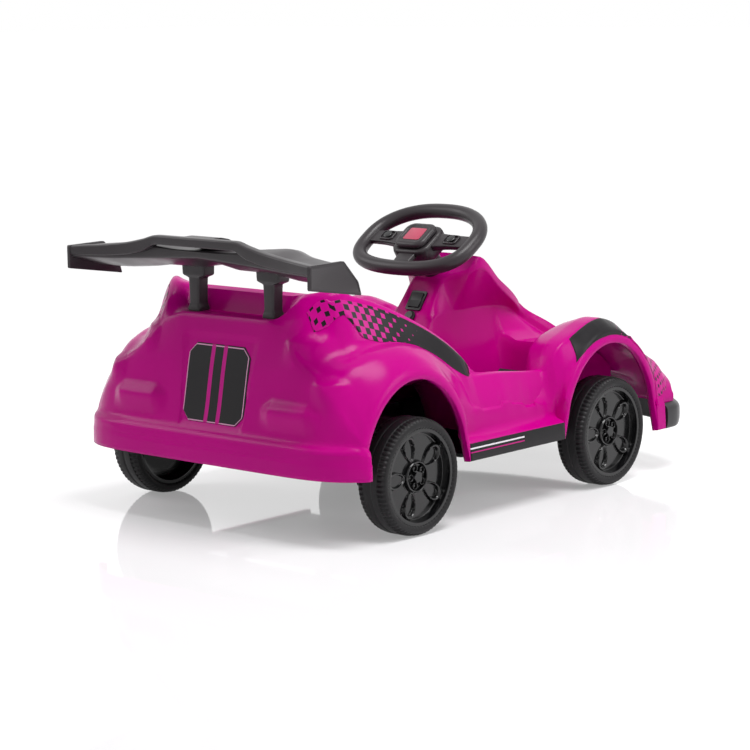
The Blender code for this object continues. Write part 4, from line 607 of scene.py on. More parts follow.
def sill_chamfer(points):
    """How far the top of each door leans inwards: half a millimetre for every millimetre above z = 209 mm."""
    x, y, z = np.abs(points[..., 0]), points[..., 1], points[..., 2]
    on_door = ramp(y, -0.078, 0.012) * (1 - ramp(y, 0.112, 0.02)) * np.clip((x - 0.250) / 0.012, 0, 1)
    return 0.5 * np.clip(z - 0.209, 0, 0.020) * on_door


def thicken(made, name, thickness, offset):
    """Gives an open skin a wall: outwards for offset 1, inwards for -1."""
    wall = made.modifiers.new(name, "SOLIDIFY")
    wall.thickness, wall.offset, wall.use_even_offset = thickness, offset, False


WALL_THICKNESS = 0.003
SHELL = SHELL + tail_steps(SHELL)[..., None] * outward(SHELL)
SHELL[..., 0] = np.clip(SHELL[..., 0], CAD_LOW[0], CAD_HIGH[0])
SHELL[..., 2] -= PRESSED * tunnel_panel(SHELL)
SHELL[..., 0] -= np.sign(SHELL[..., 0]) * sill_chamfer(SHELL)
body = piece("body_shell_skin", skin(SHELL, around=False), sharp=40)
thicken(body, "wall", WALL_THICKNESS, -1.0)
fit(body, "chassis", "body_pink", "body_shell")

# %% [markdown]
# ## Printed stickers
# The kart wears printed vinyl: a chequered band along the seat, one over each front wheel, a stripe on each
# door skirt and a plate on the tail. A sticker is a thin patch of the same skin, lifted a third of a millimetre,
# so its edge is a real edge, and its pattern lies in its own flat coordinates in metres.
# The prints are plain race patterns: chequers, bars and a bare number plate.

# %% A patch of the skin
def on_shell(station, line):
    """Points and outward normals of the skin at (station, line), both read between the four nearest grid points."""
    row = np.interp(station, STATIONS, np.arange(len(STATIONS)))
    col = np.interp(line, ACROSS, np.arange(len(ACROSS)))
    r, c = np.minimum(row.astype(int), len(STATIONS) - 2), np.minimum(col.astype(int), len(ACROSS) - 2)
    s, t = (row - r)[..., None], (col - c)[..., None]
    p00, p01, p10, p11 = SHELL[r, c], SHELL[r, c + 1], SHELL[r + 1, c], SHELL[r + 1, c + 1]
    point = (1 - s) * ((1 - t) * p00 + t * p01) + s * ((1 - t) * p10 + t * p11)
    normal = np.cross((1 - s) * (p01 - p00) + s * (p11 - p10), (1 - t) * (p10 - p00) + t * (p11 - p01))
    return point, normal / np.maximum(np.linalg.norm(normal, axis=-1, keepdims=True), 1e-12)


LIFT, FILM = 0.00035, 0.0002


def lay_flat(made, layer, along, across):
    """Writes a patch's flat coordinates into its layer: each face corner takes those of its point."""
    corner = np.zeros(len(made.data.loops), int)
    made.data.loops.foreach_get("vertex_index", corner)
    layer.data.foreach_set("uv", np.stack([along.ravel(), across.ravel()], axis=1)[corner].ravel())


def running(steps):
    """Running sums along the last axis, starting from 0."""
    return np.concatenate([np.zeros((*steps.shape[:-1], 1)), np.cumsum(steps, axis=-1)], axis=-1)


def sticker(name, station, line, side, finish):
    """A patch over grids of (station, line); its flat coordinates are length along and width across, in metres."""
    point, normal = on_shell(station, line * side)
    grid = point + normal * LIFT
    along = running(np.linalg.norm(np.diff(grid, axis=0), axis=-1).mean(1))[:, None] + 0 * line
    across = running(np.linalg.norm(np.diff(grid, axis=1), axis=-1))
    points, faces = skin(grid, around=False)
    made = piece(name, (points, faces if side > 0 else [face[::-1] for face in faces]), sharp=60)
    lay_flat(made, made.data.uv_layers.new(name="flat"), along, across)
    thicken(made, "film", FILM, 1.0)
    return fit(made, "chassis", "switch_black", finish=finish)

# %% [markdown]
# The chequers fade: near the dark end they close up to solid ink, far from it they shrink to loose squares.
# Two square lattices, one shifted half a cell, give the chequer. Each square is the set of points whose larger
# distance from the lattice point, along either axis, is under a limit. A quarter of a cell is the true chequer,
# half a cell is solid, so the limit falls in two straight runs along the sticker.

# %% Vinyl finishes
INK, WHITE_INK, ROSE_INK, PALE_INK = 0x120F13, 0xE9E4EA, 0xC2127F, 0xE6A8CC
SOLID, TRUE_CHEQUER = 0.51, 0.26  # limits in cells, a hair over a half and a quarter, so that squares touch
SKIRT_BARS = ((0.0085, 0.0013, WHITE_INK), (0.0150, 0.0010, ROSE_INK))  # middle, half width, ink
SKIRT_BARS_FROM = 0.112
PINSTRIPE = (-0.0028, 0.0009)  # middle, as a distance inside the plate's edge, and half width
PLATE_BAR = (0.0135, 0.0042)  # middle, to either side of the plate's own, and half width


def vinyl(name, build):
    """Printed film with a soft gloss; build(tree, flat) returns the colour socket of its print."""
    mat, tree, place = started(name)
    print_colour = build(tree, node(tree, "UVMap", uv_map="flat"))
    dust = node(tree, "TexNoise", {"Vector": place, "Scale": per_mm(9.0), "Detail": 4.0})
    gloss = node(tree, "MapRange", {"Value": dust, "To Min": 0.26, "To Max": 0.40})
    wave = node(tree, "Bump", {"Height": dust, "Distance": 0.00003, "Strength": 0.6})
    shader = node(tree, "BsdfPrincipled", {"Base Color": print_colour, "Roughness": gloss, "Normal": wave,
                                           "Specular IOR Level": 0.22})
    node(tree, "OutputMaterial", {"Surface": shader})
    return mat


def chequers(cell, solid_at, true_at, end_at, loose):
    """Squares on two lattices of pitch `cell`: solid at solid_at, a true chequer at true_at, `loose` at end_at."""
    def build(tree, flat):
        scaled = node(tree, "VectorMath", {0: flat, 1: (1 / cell,) * 3}, operation="MULTIPLY")
        squares = []
        for shift in (100.0, 100.5):  # the 100 whole cells leave the pattern as it is
            moved = node(tree, "VectorMath", {0: scaled, 1: (shift, shift, 0)}, operation="ADD")
            part = node(tree, "VectorMath", {0: moved}, operation="FRACTION")
            middle = node(tree, "VectorMath", {0: part, 1: (0.5, 0.5, 0)}, operation="SUBTRACT")
            size = node(tree, "VectorMath", {0: middle}, operation="ABSOLUTE")
            axes = node(tree, "SeparateXYZ", {0: size})
            squares.append(node(tree, "Math", {0: axes.outputs[0], 1: axes.outputs[1]}, operation="MAXIMUM"))
        nearest = node(tree, "Math", {0: squares[0], 1: squares[1]}, operation="MINIMUM")
        along = node(tree, "SeparateXYZ", {0: flat}).outputs[0]
        closing = node(tree, "MapRange", {"Value": along, "From Min": solid_at, "From Max": true_at,
                                          "To Min": SOLID, "To Max": TRUE_CHEQUER})
        parting = node(tree, "MapRange", {"Value": along, "From Min": true_at, "From Max": end_at,
                                          "To Min": 0.0, "To Max": TRUE_CHEQUER - loose})
        limit = node(tree, "Math", {0: closing, 1: parting}, operation="SUBTRACT")
        inked = node(tree, "Math", {0: nearest, 1: limit}, operation="LESS_THAN")
        return node(tree, "Mix", {0: inked, 6: paint(BODY_PINK), 7: paint(INK)}, data_type="RGBA").outputs[2]
    return build


def band(tree, value, middle, half):
    """1 where a value lies within `half` of the middle, else 0."""
    off = node(tree, "Math", {0: value, 1: middle}, operation="SUBTRACT")
    size = node(tree, "Math", {0: off}, operation="ABSOLUTE")
    return node(tree, "Math", {0: size, 1: half}, operation="LESS_THAN")


def skirt_stripes(tree, flat):
    """Black, with a white bar and a pink bar over the rear half: each is a band of the width coordinate."""
    axes = node(tree, "SeparateXYZ", {0: flat})
    rear = node(tree, "Math", {0: axes.outputs[0], 1: SKIRT_BARS_FROM}, operation="GREATER_THAN")
    colour = paint(INK)
    for middle, half, hue in SKIRT_BARS:
        bar = band(tree, axes.outputs[1], middle, half)
        bar = node(tree, "Math", {0: bar, 1: rear}, operation="MULTIPLY")
        colour = node(tree, "Mix", {0: bar, 6: colour, 7: paint(hue)}, data_type="RGBA").outputs[2]
    return colour


def plate_print(width, height):
    """A bare number plate: black, a pale pinstripe just inside its edge, and two pink bars down its middle."""
    def build(tree, flat):
        centred = node(tree, "VectorMath", {0: flat, 1: (height / 2, width / 2, 0)}, operation="SUBTRACT")
        axes = node(tree, "SeparateXYZ", {0: node(tree, "VectorMath", {0: centred}, operation="ABSOLUTE")})
        down, wide = axes.outputs[0], axes.outputs[1]
        past_end = node(tree, "Math", {0: down, 1: height / 2}, operation="SUBTRACT")
        past_side = node(tree, "Math", {0: wide, 1: width / 2}, operation="SUBTRACT")
        both = node(tree, "Math", {0: down, 1: wide}, operation="ADD")
        past_corner = node(tree, "Math", {0: both, 1: height / 2 + width / 2 - PLATE_CUT}, operation="SUBTRACT")
        inside = node(tree, "Math", {0: past_end, 1: past_side}, operation="MAXIMUM")
        inside = node(tree, "Math", {0: inside, 1: past_corner}, operation="MAXIMUM")
        colour = node(tree, "Mix", {0: band(tree, inside, *PINSTRIPE), 6: paint(INK), 7: paint(PALE_INK)},
                      data_type="RGBA")
        colour = node(tree, "Mix", {0: band(tree, wide, *PLATE_BAR), 6: colour.outputs[2], 7: paint(BODY_PINK)},
                      data_type="RGBA")
        return colour.outputs[2]
    return build

# %% [markdown]
# Each sticker's outline is given by where it starts and ends on the feature lines. The seat band runs from a
# point at the door up along the seat rim; the wheel band lies between the fender's crown and the arch's lip.

# %% Lay the stickers
def stations_and_lines(marks, length_steps, width_steps):
    """Grids of (station, line) from marks (station, upper line, lower line), straight between the marks."""
    station, upper, lower = np.array(marks, float).T
    along = np.linspace(station[0], station[-1], length_steps)
    share = np.linspace(0, 1, width_steps)
    top, bottom = np.interp(along, station, upper), np.interp(along, station, lower)
    return along[:, None] + 0 * share, top[:, None] * (1 - share) + bottom[:, None] * share


SIDES = (("left", 1), ("right", -1))
SEAT_BAND = [(0.112, 9.50, 9.60), (0.122, 9.10, 9.93), (0.145, 8.93, 9.95), (0.200, 8.92, 9.95),
             (0.245, 8.92, 9.93), (0.290, 8.90, 9.90), (0.312, 8.88, 9.80), (0.348, 8.80, 9.52),
             (0.372, 8.55, 9.40), (0.386, 8.05, 9.15), (0.401, 7.80, 8.75)]
WHEEL_BAND = [(-0.404, 10.90, 12.60), (-0.360, 10.50, 12.80), (-0.300, 10.15, 13.10), (-0.240, 10.05, 13.20),
              (-0.200, 10.02, 13.10), (-0.150, 10.03, 12.60), (-0.124, 10.20, 12.35)]
SKIRT_BAND = [(-0.0835, 14.10, 14.92), (0.1715, 14.10, 14.92)]
seat_vinyl = vinyl("vinyl_fading_chequers", chequers(0.0235, solid_at=0.130, true_at=0.240, end_at=0.335, loose=0.17))
wheel_vinyl = vinyl("vinyl_wheel_chequers", chequers(0.0165, solid_at=0.215, true_at=0.120, end_at=0.010, loose=0.14))
skirt_vinyl = vinyl("vinyl_skirt_bars", skirt_stripes)
for tag, side in SIDES:
    sticker("seat_band_" + tag, *stations_and_lines(SEAT_BAND, 180, 26), side, seat_vinyl)
    sticker("wheel_band_" + tag, *stations_and_lines(WHEEL_BAND, 140, 26), side, wheel_vinyl)
    sticker("skirt_band_" + tag, *stations_and_lines(SKIRT_BAND, 60, 5), side, skirt_vinyl)

# %% [markdown]
# The plate on the tail crosses the middle of the car, so its grid runs in x and z instead: the stations are
# found on the centre line at each height, and the line numbers at each width.

# %% The tail plate
PLATE_WIDTH, PLATE_TOP, PLATE_BOTTOM = 0.138, 0.2965, 0.1715
PLATE_CUT, PLATE_ASIDE, PLATE_FROM = 0.016, 0.002, 0.427  # cut corner, shift to the right, first station
height_at = shell_rows(STATIONS)[:, 0, 2]
on_tail = STATIONS >= PLATE_FROM
down = np.linspace(PLATE_TOP, PLATE_BOTTOM, 44)
plate_stations = np.interp(-down, -height_at[on_tail], STATIONS[on_tail])
wide = np.linspace(-1, 1, 41)
half_width = 0.5 * PLATE_WIDTH
cut = np.minimum(1.0, (half_width - PLATE_CUT + np.minimum(PLATE_TOP - down, down - PLATE_BOTTOM)) / half_width)
plate_x = half_width * cut[:, None] * wide - PLATE_ASIDE
row = np.interp(plate_stations, STATIONS, np.arange(len(STATIONS)))
tail_x = np.stack([np.interp(row, np.arange(len(STATIONS)), SHELL[:, k, 0]) for k in range(SHELL.shape[1])], axis=1)
plate_lines = np.stack([np.interp(x, own, ACROSS) for x, own in zip(plate_x, tail_x)])
tail_vinyl = vinyl("vinyl_number_plate", plate_print(PLATE_WIDTH, PLATE_TOP - PLATE_BOTTOM + 0.004))
plate = sticker("tail_plate", plate_stations[:, None] + 0 * wide, plate_lines, 1, tail_vinyl)
length = running(np.hypot(np.diff(down), np.diff(plate_stations)))[:, None] + 0 * wide
lay_flat(plate, plate.data.uv_layers["flat"], length, plate_x + half_width)
print("plate height on the slope, mm:", round(length.max() * 1000, 1))

# %% [markdown]
# ## Wheels
# Each wheel is a blow-moulded black tyre with a glossy cover pressed into it.
# The tyre is a closed outline turned once round, with cross grooves cut into its two shoulders.
# The cover is a height field on a disc: a ribbed dish, five petal-shaped loops that stand on it as spokes,
# a hub ring with five lobes and a raised rim. A height field keeps one clean skin, where carving would not.

# %% Tyre and cover as functions of radius and angle
HALF_TRACK, GROOVES, GROOVE_DEPTH = 0.280, 72, 0.0020
DISH = np.array([(0.000, 0.0140), (0.024, 0.0130), (0.030, 0.0085), (0.046, 0.0070), (0.060, 0.0085),
                 (0.0675, 0.0105), (0.0700, 0.0130), (0.0716, 0.0210), (0.0726, 0.0262)]).T  # radius, height
RIB_PITCH, RIB_HEIGHT = 0.0050, 0.0007
PETALS, PETAL_R, PETAL_HALF_LENGTH, PETAL_HALF_WIDTH, PETAL_LINE = 5, 0.0465, 0.0205, 0.0115, 0.00240
HUB_BASE, HUB_EDGE, HUB_RING_R, LOBE_R, LOBE_RING_R, STAR_R = 0.0128, 0.0262, 0.0240, 0.0150, 0.0052, 0.0088


def tyre_points(steps=GROOVES * 5):
    """Turned outline, its radius cut by 2 mm in each groove: grooves lie on the shoulders only."""
    half = np.array([(0.0790, -0.0262), (0.0812, -0.0284), (0.0868, -0.0290), (0.0912, -0.0268), (0.0938, -0.0222),
                     (0.0944, -0.0150), (0.0950, -0.0140), (0.0950, -0.0030), (0.0942, -0.0020)])
    radii = [0.0004, 0.002, 0.003, 0.003, 0.002, 0.0004, 0.0004, 0.0004, 0.0004]
    outline = softened(np.concatenate([half, half[::-1] * (1, -1)]), np.array(radii + radii[::-1]), 2, closed=True)
    grid = turned(outline, steps)
    angle = np.arctan2(grid[..., 1], grid[..., 0])
    wave = np.abs(((angle / (2 * math.pi) * GROOVES) % 1) - 0.5) * 2
    shoulder = window(np.abs(grid[..., 2]), 0.0150, 0.0272, 0.0008)
    cut = 1 - GROOVE_DEPTH / 0.093 * ramp(wave, 0.45, 0.25) * shoulder
    grid[..., :2] *= cut[..., None]
    return grid


def cover_height(r, a):
    """Height of the cover: dish + ribs, then the highest of dish, petal ridge, hub ring, lobes and centre star."""
    dish = np.interp(r, *DISH) + RIB_HEIGHT * np.sin(2 * math.pi * r / RIB_PITCH) * window(r, 0.030, 0.066, 0.003)
    turn = (a / (2 * math.pi) * PETALS) % 1 - 0.5
    off = turn * 2 * math.pi / PETALS
    s, t = r * np.cos(off), r * np.sin(off)
    reach = (s - PETAL_R) / PETAL_HALF_LENGTH
    width = PETAL_HALF_WIDTH * (1 + 0.30 * np.clip(reach, -1, 1))
    oval = np.sqrt(reach ** 2 + (t / width) ** 2)
    off_ridge = (oval - 1) * 0.0118  # metres from the petal's line, near enough
    top = 0.0155 + 0.0040 * np.clip((r - 0.024) / 0.044, 0, 1)
    ridge = dish + (top - dish) * np.exp(-(off_ridge / PETAL_LINE) ** 4)
    pocket = dish - 0.0030 * (1 - ramp(oval, 0.78, 0.16)) * (r > 0.02)
    height = np.maximum(np.where(oval < 0.95, pocket, dish), ridge)
    ring = HUB_BASE + 0.0068 * np.exp(-((r - HUB_RING_R) / 0.0023) ** 4)
    lobe = np.hypot(s - LOBE_R, t)
    lobes = HUB_BASE + 0.0060 * np.exp(-((lobe - LOBE_RING_R) / 0.0013) ** 4)
    bolt = HUB_BASE + 0.0035 * (1 - ramp(lobe, 0.0022, 0.0008))
    star = HUB_BASE + 0.0085 * (1 - ramp(r * (1 + 0.10 * np.cos(PETALS * a)), STAR_R, 0.0012))
    hub = np.maximum.reduce([ring, lobes, bolt, star])
    return np.where(r < HUB_EDGE, np.maximum(height * ramp(r, 0.024, 0.002), hub), np.maximum(height, ring))


def cover_points(rings=84, steps=300):
    """The cover's front as a height field, then its rim, barrel and hollow back, down to the axle's blind hole."""
    r = np.concatenate([np.linspace(0, 0.030, 34), np.linspace(0.031, 0.0726, rings - 34)])
    a = np.linspace(0, 2 * math.pi, steps, endpoint=False)
    radius, angle = np.meshgrid(r, a, indexing="ij")
    front = np.stack([radius * np.cos(angle), radius * np.sin(angle), cover_height(radius, angle)], axis=-1)
    back = softened([(0.0734, 0.0264), (0.0782, 0.0264), (0.0788, 0.0258), (0.0788, -0.0258), (0.0720, -0.0258),
                     (0.0682, 0.0015), (0.0190, 0.0015), (0.0182, -0.0235), (0.0056, -0.0235), (0.0056, 0.0112),
                     (0.0, 0.0112)], 0.0006, 2)
    return np.concatenate([front, turned(back, steps)])


TYRE, COVER = tyre_points(), cover_points()
print("tyre grid", TYRE.shape, "cover grid", COVER.shape)

# %% [markdown]
# The four wheels share the same points. Each is set on its own axle, with its face outwards: the wheel's own
# axis becomes +X on the left and -X on the right.

# %% Set the wheels
def ring_rows(grid):
    """Rows round the axis, the first one again at the end: a closed outline, once turned, becomes a closed ring."""
    grid = grid.transpose(1, 0, 2)
    return np.concatenate([grid, grid[:1]])


for end, y in (("front", FRONT_AXLE_Y), ("rear", REAR_AXLE_Y)):
    for tag, side in SIDES:
        corner = f"{end}_{tag}"
        pose = ((side * HALF_TRACK, y, WHEEL_R), (0, side, 0), (0, 0, 1), (side, 0, 0))
        tyre = piece("tread_" + corner, skin(ring_rows(placed(TYRE, *pose))), sharp=28)
        cover = piece("cover_" + corner, skin(placed(COVER, *pose)), sharp=40)
        fit(tyre, "wheel_" + corner, "tyre_black", "tyre_" + corner)
        fit(cover, "wheel_" + corner, "rim_black", "rim_" + corner, "hub_cap_" + corner)

# %% [markdown]
# ## Steering wheel
# The steering wheel is a flat-bottomed oval ring with three spokes, moulded in grained grey plastic.
# Its own axes are x across, y towards its lower edge and z towards the driver, tilted 33.2 degrees.
# The ring is a circle carried round a superellipse; the hub and the pad are stacks of rounded outlines.

# %% The ring's path and the wheel's own axes
TILT = math.radians(33.2)
STEER_CENTRE = np.array([0.0, -0.0666, 0.4236])
STEER_AXES = ((1, 0, 0), (0, math.cos(TILT), -math.sin(TILT)), (0, math.sin(TILT), math.cos(TILT)))
RING_X, RING_Y, RING_TUBE = 0.1175, 0.0835, 0.0130


def on_steering(points):
    """From the wheel's own axes to the kart's."""
    return placed(points, STEER_CENTRE, *STEER_AXES)


def ring_path(a):
    """Superellipse: x = A |cos a|^0.86, y = B |sin a|^p, with p = 0.60 in the flat lower half and 0.92 above."""
    c, s = np.cos(a), np.sin(a)
    x = RING_X * np.sign(c) * np.abs(c) ** 0.86
    y = RING_Y * np.sign(s) * np.abs(s) ** np.where(s > 0, 0.60, 0.92) * np.where(s > 0, 0.93, 1.0)
    return np.stack([x, y, 0 * x], axis=-1)


def even_path(path, count):
    """Points at equal lengths along a closed path, after its kinks are averaged out."""
    for _ in range(24):
        path = 0.25 * np.roll(path, 1, 0) + 0.5 * path + 0.25 * np.roll(path, -1, 0)
    loop = np.concatenate([path, path[:1]])
    length = running(np.linalg.norm(np.diff(loop, axis=0), axis=1))
    at = np.linspace(0, length[-1], count, endpoint=False)
    return np.stack([np.interp(at, length, loop[:, k]) for k in range(3)], axis=1)


def round_tube(path, radius, sides, normal=(0, 0, 1)):
    """A circle carried round a closed path: p + radius (cos b side + sin b normal), side being tangent x normal."""
    tangent = np.roll(path, -1, 0) - np.roll(path, 1, 0)
    tangent /= np.linalg.norm(tangent, axis=1, keepdims=True)
    side = np.cross(tangent, normal)
    b = np.linspace(0, 2 * math.pi, sides, endpoint=False)[:, None]
    grid = path[:, None] + radius * (np.cos(b) * side[:, None] + np.sin(b) * np.array(normal, float))
    return np.concatenate([grid, grid[:1]])


ring = even_path(ring_path(np.linspace(0, 2 * math.pi, 1440, endpoint=False)), 180)
print("ring width and height in mm:", (np.ptp(ring, axis=0)[:2] * 1000 + 2000 * RING_TUBE).round(1))

# %% [markdown]
# A stack takes one rounded outline and repeats it at each height, grown or shrunk: that is how a moulded
# housing with soft shoulders is described, and the last outline closes it.

# %% Stacks of rounded outlines
def rounded_outline(width, height, radius, centre=(0.0, 0.0), corner_steps=6):
    """A rectangle with round corners: four quarter circles, joined by straight sides."""
    quarter = np.linspace(0, math.pi / 2, corner_steps + 1)
    points = []
    for k, (sx, sy) in enumerate(((1, 1), (-1, 1), (-1, -1), (1, -1))):
        a = quarter + k * math.pi / 2
        points.append(np.stack([centre[0] + sx * (width / 2 - radius) + radius * np.cos(a),
                                centre[1] + sy * (height / 2 - radius) + radius * np.sin(a)], axis=1))
    return np.concatenate(points)


def stack(outline, levels, half=None):
    """Rings at heights: for each level (height, inset) the outline shrinks towards its own middle by the inset.

    The shrinking is a share of `half`, which is half the outline's width and height unless it is given.
    """
    middle = outline.mean(0)
    half = np.ptp(outline, axis=0) / 2 if half is None else half
    rings = [np.column_stack([middle + (outline - middle) * (1 - inset / half), np.full(len(outline), z)])
             for z, inset in levels]
    return np.array(rings)


HUB_MIDDLE, BUTTON_X = (0.0, 0.006), 0.072
hub = stack(rounded_outline(0.080, 0.076, 0.020, HUB_MIDDLE),
            [(-0.0280, 0.012), (-0.0272, 0.0085), (-0.0230, 0.004), (-0.0100, 0.0), (0.0030, 0.0), (0.0070, 0.001),
             (0.0090, 0.003), (0.0095, 0.006), (0.0095, 0.012), (0.0078, 0.013)])


def arm(sections):
    """A spoke from its cross sections (x, half width, lower z, upper z, middle), rounded and carried along x."""
    rings = []
    for x, half, low, high, middle in sections:
        corners = [(middle - half, low), (middle + half, low), (middle + half, high), (middle - half, high)]
        corners = softened(corners, 0.0035, 4, closed=True)
        rings.append(np.column_stack([np.full(len(corners), x), corners]))
    at = np.linspace(sections[0][0], sections[-1][0], 24)
    return drawn([s[0] for s in sections], rings, at)


right_arm = arm([(0.030, 0.0205, -0.0070, 0.0060, 0.002), (0.050, 0.0175, -0.0062, 0.0056, 0.001),
                 (0.075, 0.0155, -0.0055, 0.0050, 0.0), (0.100, 0.0150, -0.0052, 0.0048, 0.0),
                 (0.113, 0.0165, -0.0050, 0.0046, 0.0)])
left_arm = right_arm * (-1, 1, 1)
lower_arm = arm([(0.030, 0.0210, -0.0060, 0.0050, 0.0), (0.050, 0.0180, -0.0052, 0.0048, 0.0),
                 (0.074, 0.0165, -0.0048, 0.0044, 0.0)])[..., [1, 0, 2]]
POD_LEVELS = [(0.0030, 0.0), (0.0074, 0.0002), (0.0080, 0.0008), (0.0082, 0.0018), (0.0080, 0.0026), (0.0054, 0.0028)]
pods = [stack(rounded_outline(0.030, 0.0235, 0.006, (side * BUTTON_X, 0.0)), POD_LEVELS) for _, side in SIDES]
wheel_skins = [skin(on_steering(round_tube(ring, RING_TUBE, 28))), skin(on_steering(hub), ends=True)]
wheel_skins += [skin(on_steering(grid), ends=True) for grid in (right_arm, left_arm, lower_arm, *pods)]
steering_wheel = piece("steering_wheel_moulding", *wheel_skins, sharp=40)
fit(steering_wheel, "steering", "grey_plastic", "steering_wheel")

# %% [markdown]
# The horn pad is a domed cap with a sunk field, and a plain rose panel lies in it.
# The two thumb buttons are low domes that sink into wells in their pods.
# Pad and buttons are pressed, so each rides on its own body.

# %% Horn pad and thumb buttons
pad = stack(rounded_outline(0.066, 0.062, 0.017, HUB_MIDDLE),
            [(0.0122, 0.0), (0.0150, 0.0), (0.0180, 0.0012), (0.0198, 0.0034), (0.0205, 0.0066), (0.0204, 0.0088),
             (0.0190, 0.0100), (0.0188, 0.0112)])
fit(piece("horn_cap", skin(on_steering(pad), ends=True), sharp=45), "horn", "grey_plastic", "horn_pad")
badge = stack(rounded_outline(0.036, 0.031, 0.0035, HUB_MIDDLE), [(0.0186, 0.0), (0.0193, 0.0), (0.0195, 0.0004)])
fit(piece("horn_badge", skin(on_steering(badge), ends=True)), "horn", "badge_rose")
dome = softened([(0.0, 0.0076), (0.0084, 0.0076), (0.0084, 0.0092), (0.0062, 0.0103), (0.0, 0.0105)], 0.0008, 3)
for tag, side in SIDES:
    button = turned(dome, 40) + (side * BUTTON_X, 0.0, 0.0)
    fit(piece("thumb_button_" + tag, skin(on_steering(button))), "button_" + tag, "switch_black",
        "wheel_button_" + tag)
boot = softened([(0.0060, -0.0788), (0.0203, -0.0788), (0.0203, -0.0500), (0.0190, -0.0330), (0.0172, -0.0290),
                 (0.0060, -0.0290)], 0.0012, 3, closed=True)
boot = piece("steering_boot", skin(ring_rows(on_steering(turned(boot, 48)))))
fit(boot, "chassis", "grey_plastic", "column_boot")

# %% [markdown]
# ## Wing
# The wing is a curved plank between two framed end plates, with a raised blade along its rear edge and a short
# bridge in the middle. A loft suits it: the real moulding is designed the same way, as profiles at a few spans.
# Every profile point follows a monotone cubic across the span, so the rear edge sweeps without a wave.

# %% Plank, blade and bridge
WING_STATIONS = [0.000, 0.045, 0.110, 0.150, 0.200, 0.2657]
WING_PROFILES = np.array([  # (y, z) in millimetres, one row for each station
    [(380, 430), (371, 440), (380, 449), (430, 452), (484, 452), (484, 440), (430, 428)],
    [(383, 418.5), (373, 437), (381, 448), (430, 452), (484, 452), (484, 438), (430, 418.5)],
    [(396, 418), (388, 425), (392, 448), (430, 457), (485, 455), (485, 434), (430, 418)],
    [(424, 413), (412, 420), (406, 455), (430, 460), (488, 454), (488, 432), (440, 416)],
    [(426, 409), (418, 415), (424, 448), (440, 452), (496, 449), (496, 430), (450, 413)],
    [(414, 405), (411, 411), (436, 442), (450, 446), (511, 445), (511, 429), (450, 412)]]) / 1000
BLADE = [(0.0, 0.473, 0.4950, 0.015), (0.086, 0.473, 0.4950, 0.015), (0.116, 0.466, 0.4953, 0.020),
         (0.156, 0.458, 0.4970, 0.020), (0.206, 0.452, 0.5030, 0.018), (0.2655, 0.4475, 0.5145, 0.015)]


def spanned(stations, profiles, radius, steps=60):
    """A rounded profile in y and z carried across the whole span; the mirrored half is the same profile at -x."""
    half = np.linspace(0, stations[-1], steps)
    fine = softened(drawn(stations, profiles, half), radius, 3, closed=True)
    both = np.concatenate([fine[:0:-1], fine])
    x = np.concatenate([-half[:0:-1], half])
    return np.concatenate([np.broadcast_to(x[:, None, None], (*both.shape[:2], 1)), both], axis=-1)


plank = spanned(WING_STATIONS, WING_PROFILES, 0.0040)
blade_profiles = [[(rear - 0.001, top - thick), (rear, top - 0.002), (rear - 0.003, top), (rear - 0.0165, top),
                   (rear - 0.0165, top - thick)] for _, top, rear, thick in BLADE]
blade = spanned([row[0] for row in BLADE], blade_profiles, 0.0020)
bridge_outline = softened([(0.403, 0.4460), (0.443, 0.4695), (0.462, 0.4735), (0.486, 0.4728), (0.486, 0.4610),
                           (0.466, 0.4615), (0.450, 0.4580), (0.432, 0.4470)], 0.004, 3, closed=True)
bridge_x = np.array([-0.032, -0.0315, -0.030, 0.030, 0.0315, 0.032])
bridge = np.concatenate([np.broadcast_to(bridge_x[:, None, None], (6, len(bridge_outline), 1)),
                         np.broadcast_to(bridge_outline, (6, *bridge_outline.shape))], axis=-1)
wing = piece("wing_moulding", *[skin(grid, ends=True) for grid in (plank, blade, bridge)], sharp=35)
fit(wing, "chassis", "grey_plastic", "rear_wing")

# %% [markdown]
# The end plates are flat frames: a bevelled border round a field that lies 1 mm deeper.
# Each is a stack of the same outline, lowered and drawn in, which gives border, step and field in one skin.

# %% End plates and posts
END_OUTLINE = softened([(0.398, 0.392), (0.516, 0.410), (0.516, 0.448), (0.438, 0.449), (0.405, 0.414)],
                       0.003, 4, closed=True)
END_HALF = np.array([0.055, 0.026])
END_LEVELS = [(0.266, 0.0006), (0.2664, 0.0), (0.2712, 0.0), (0.2720, 0.0009), (0.2720, 0.0040), (0.2710, 0.0052)]
POST_X, POST_Y = 0.084, 0.399
POST_SECTIONS = [  # (height, width, depth)
    (0.3430, 0.0260, 0.0280), (0.3460, 0.0260, 0.0280), (0.3560, 0.0220, 0.0240), (0.3960, 0.0250, 0.0240),
    (0.4020, 0.0500, 0.0270), (0.4176, 0.0520, 0.0270)]
for tag, side in SIDES:
    rings = stack(END_OUTLINE, [(side * x, inset) for x, inset in END_LEVELS], END_HALF)[..., [2, 0, 1]]
    plate = piece("end_plate_" + tag, skin(rings, ends=True), sharp=40)
    fit(plate, "chassis", "grey_plastic", "endplate_" + tag)
    sections = []
    for z, width, depth in POST_SECTIONS:
        outline = rounded_outline(width, depth, 0.004, (side * POST_X, POST_Y))
        sections.append(np.column_stack([outline, np.full(len(outline), z)]))
    heights = [row[0] for row in POST_SECTIONS]
    post = drawn(heights, sections, np.linspace(heights[0], heights[-1], 40))
    post = piece("post_" + tag, skin(post, ends=True), sharp=40)
    fit(post, "chassis", "grey_plastic", "wing_post_" + tag)

# %% [markdown]
# ## Front bumper
# A hollow black moulding wraps the nose in plan. Its section leans back over the nose in the middle and gets
# plainer at the sides, so it is another loft, along the nose instead of across a span.

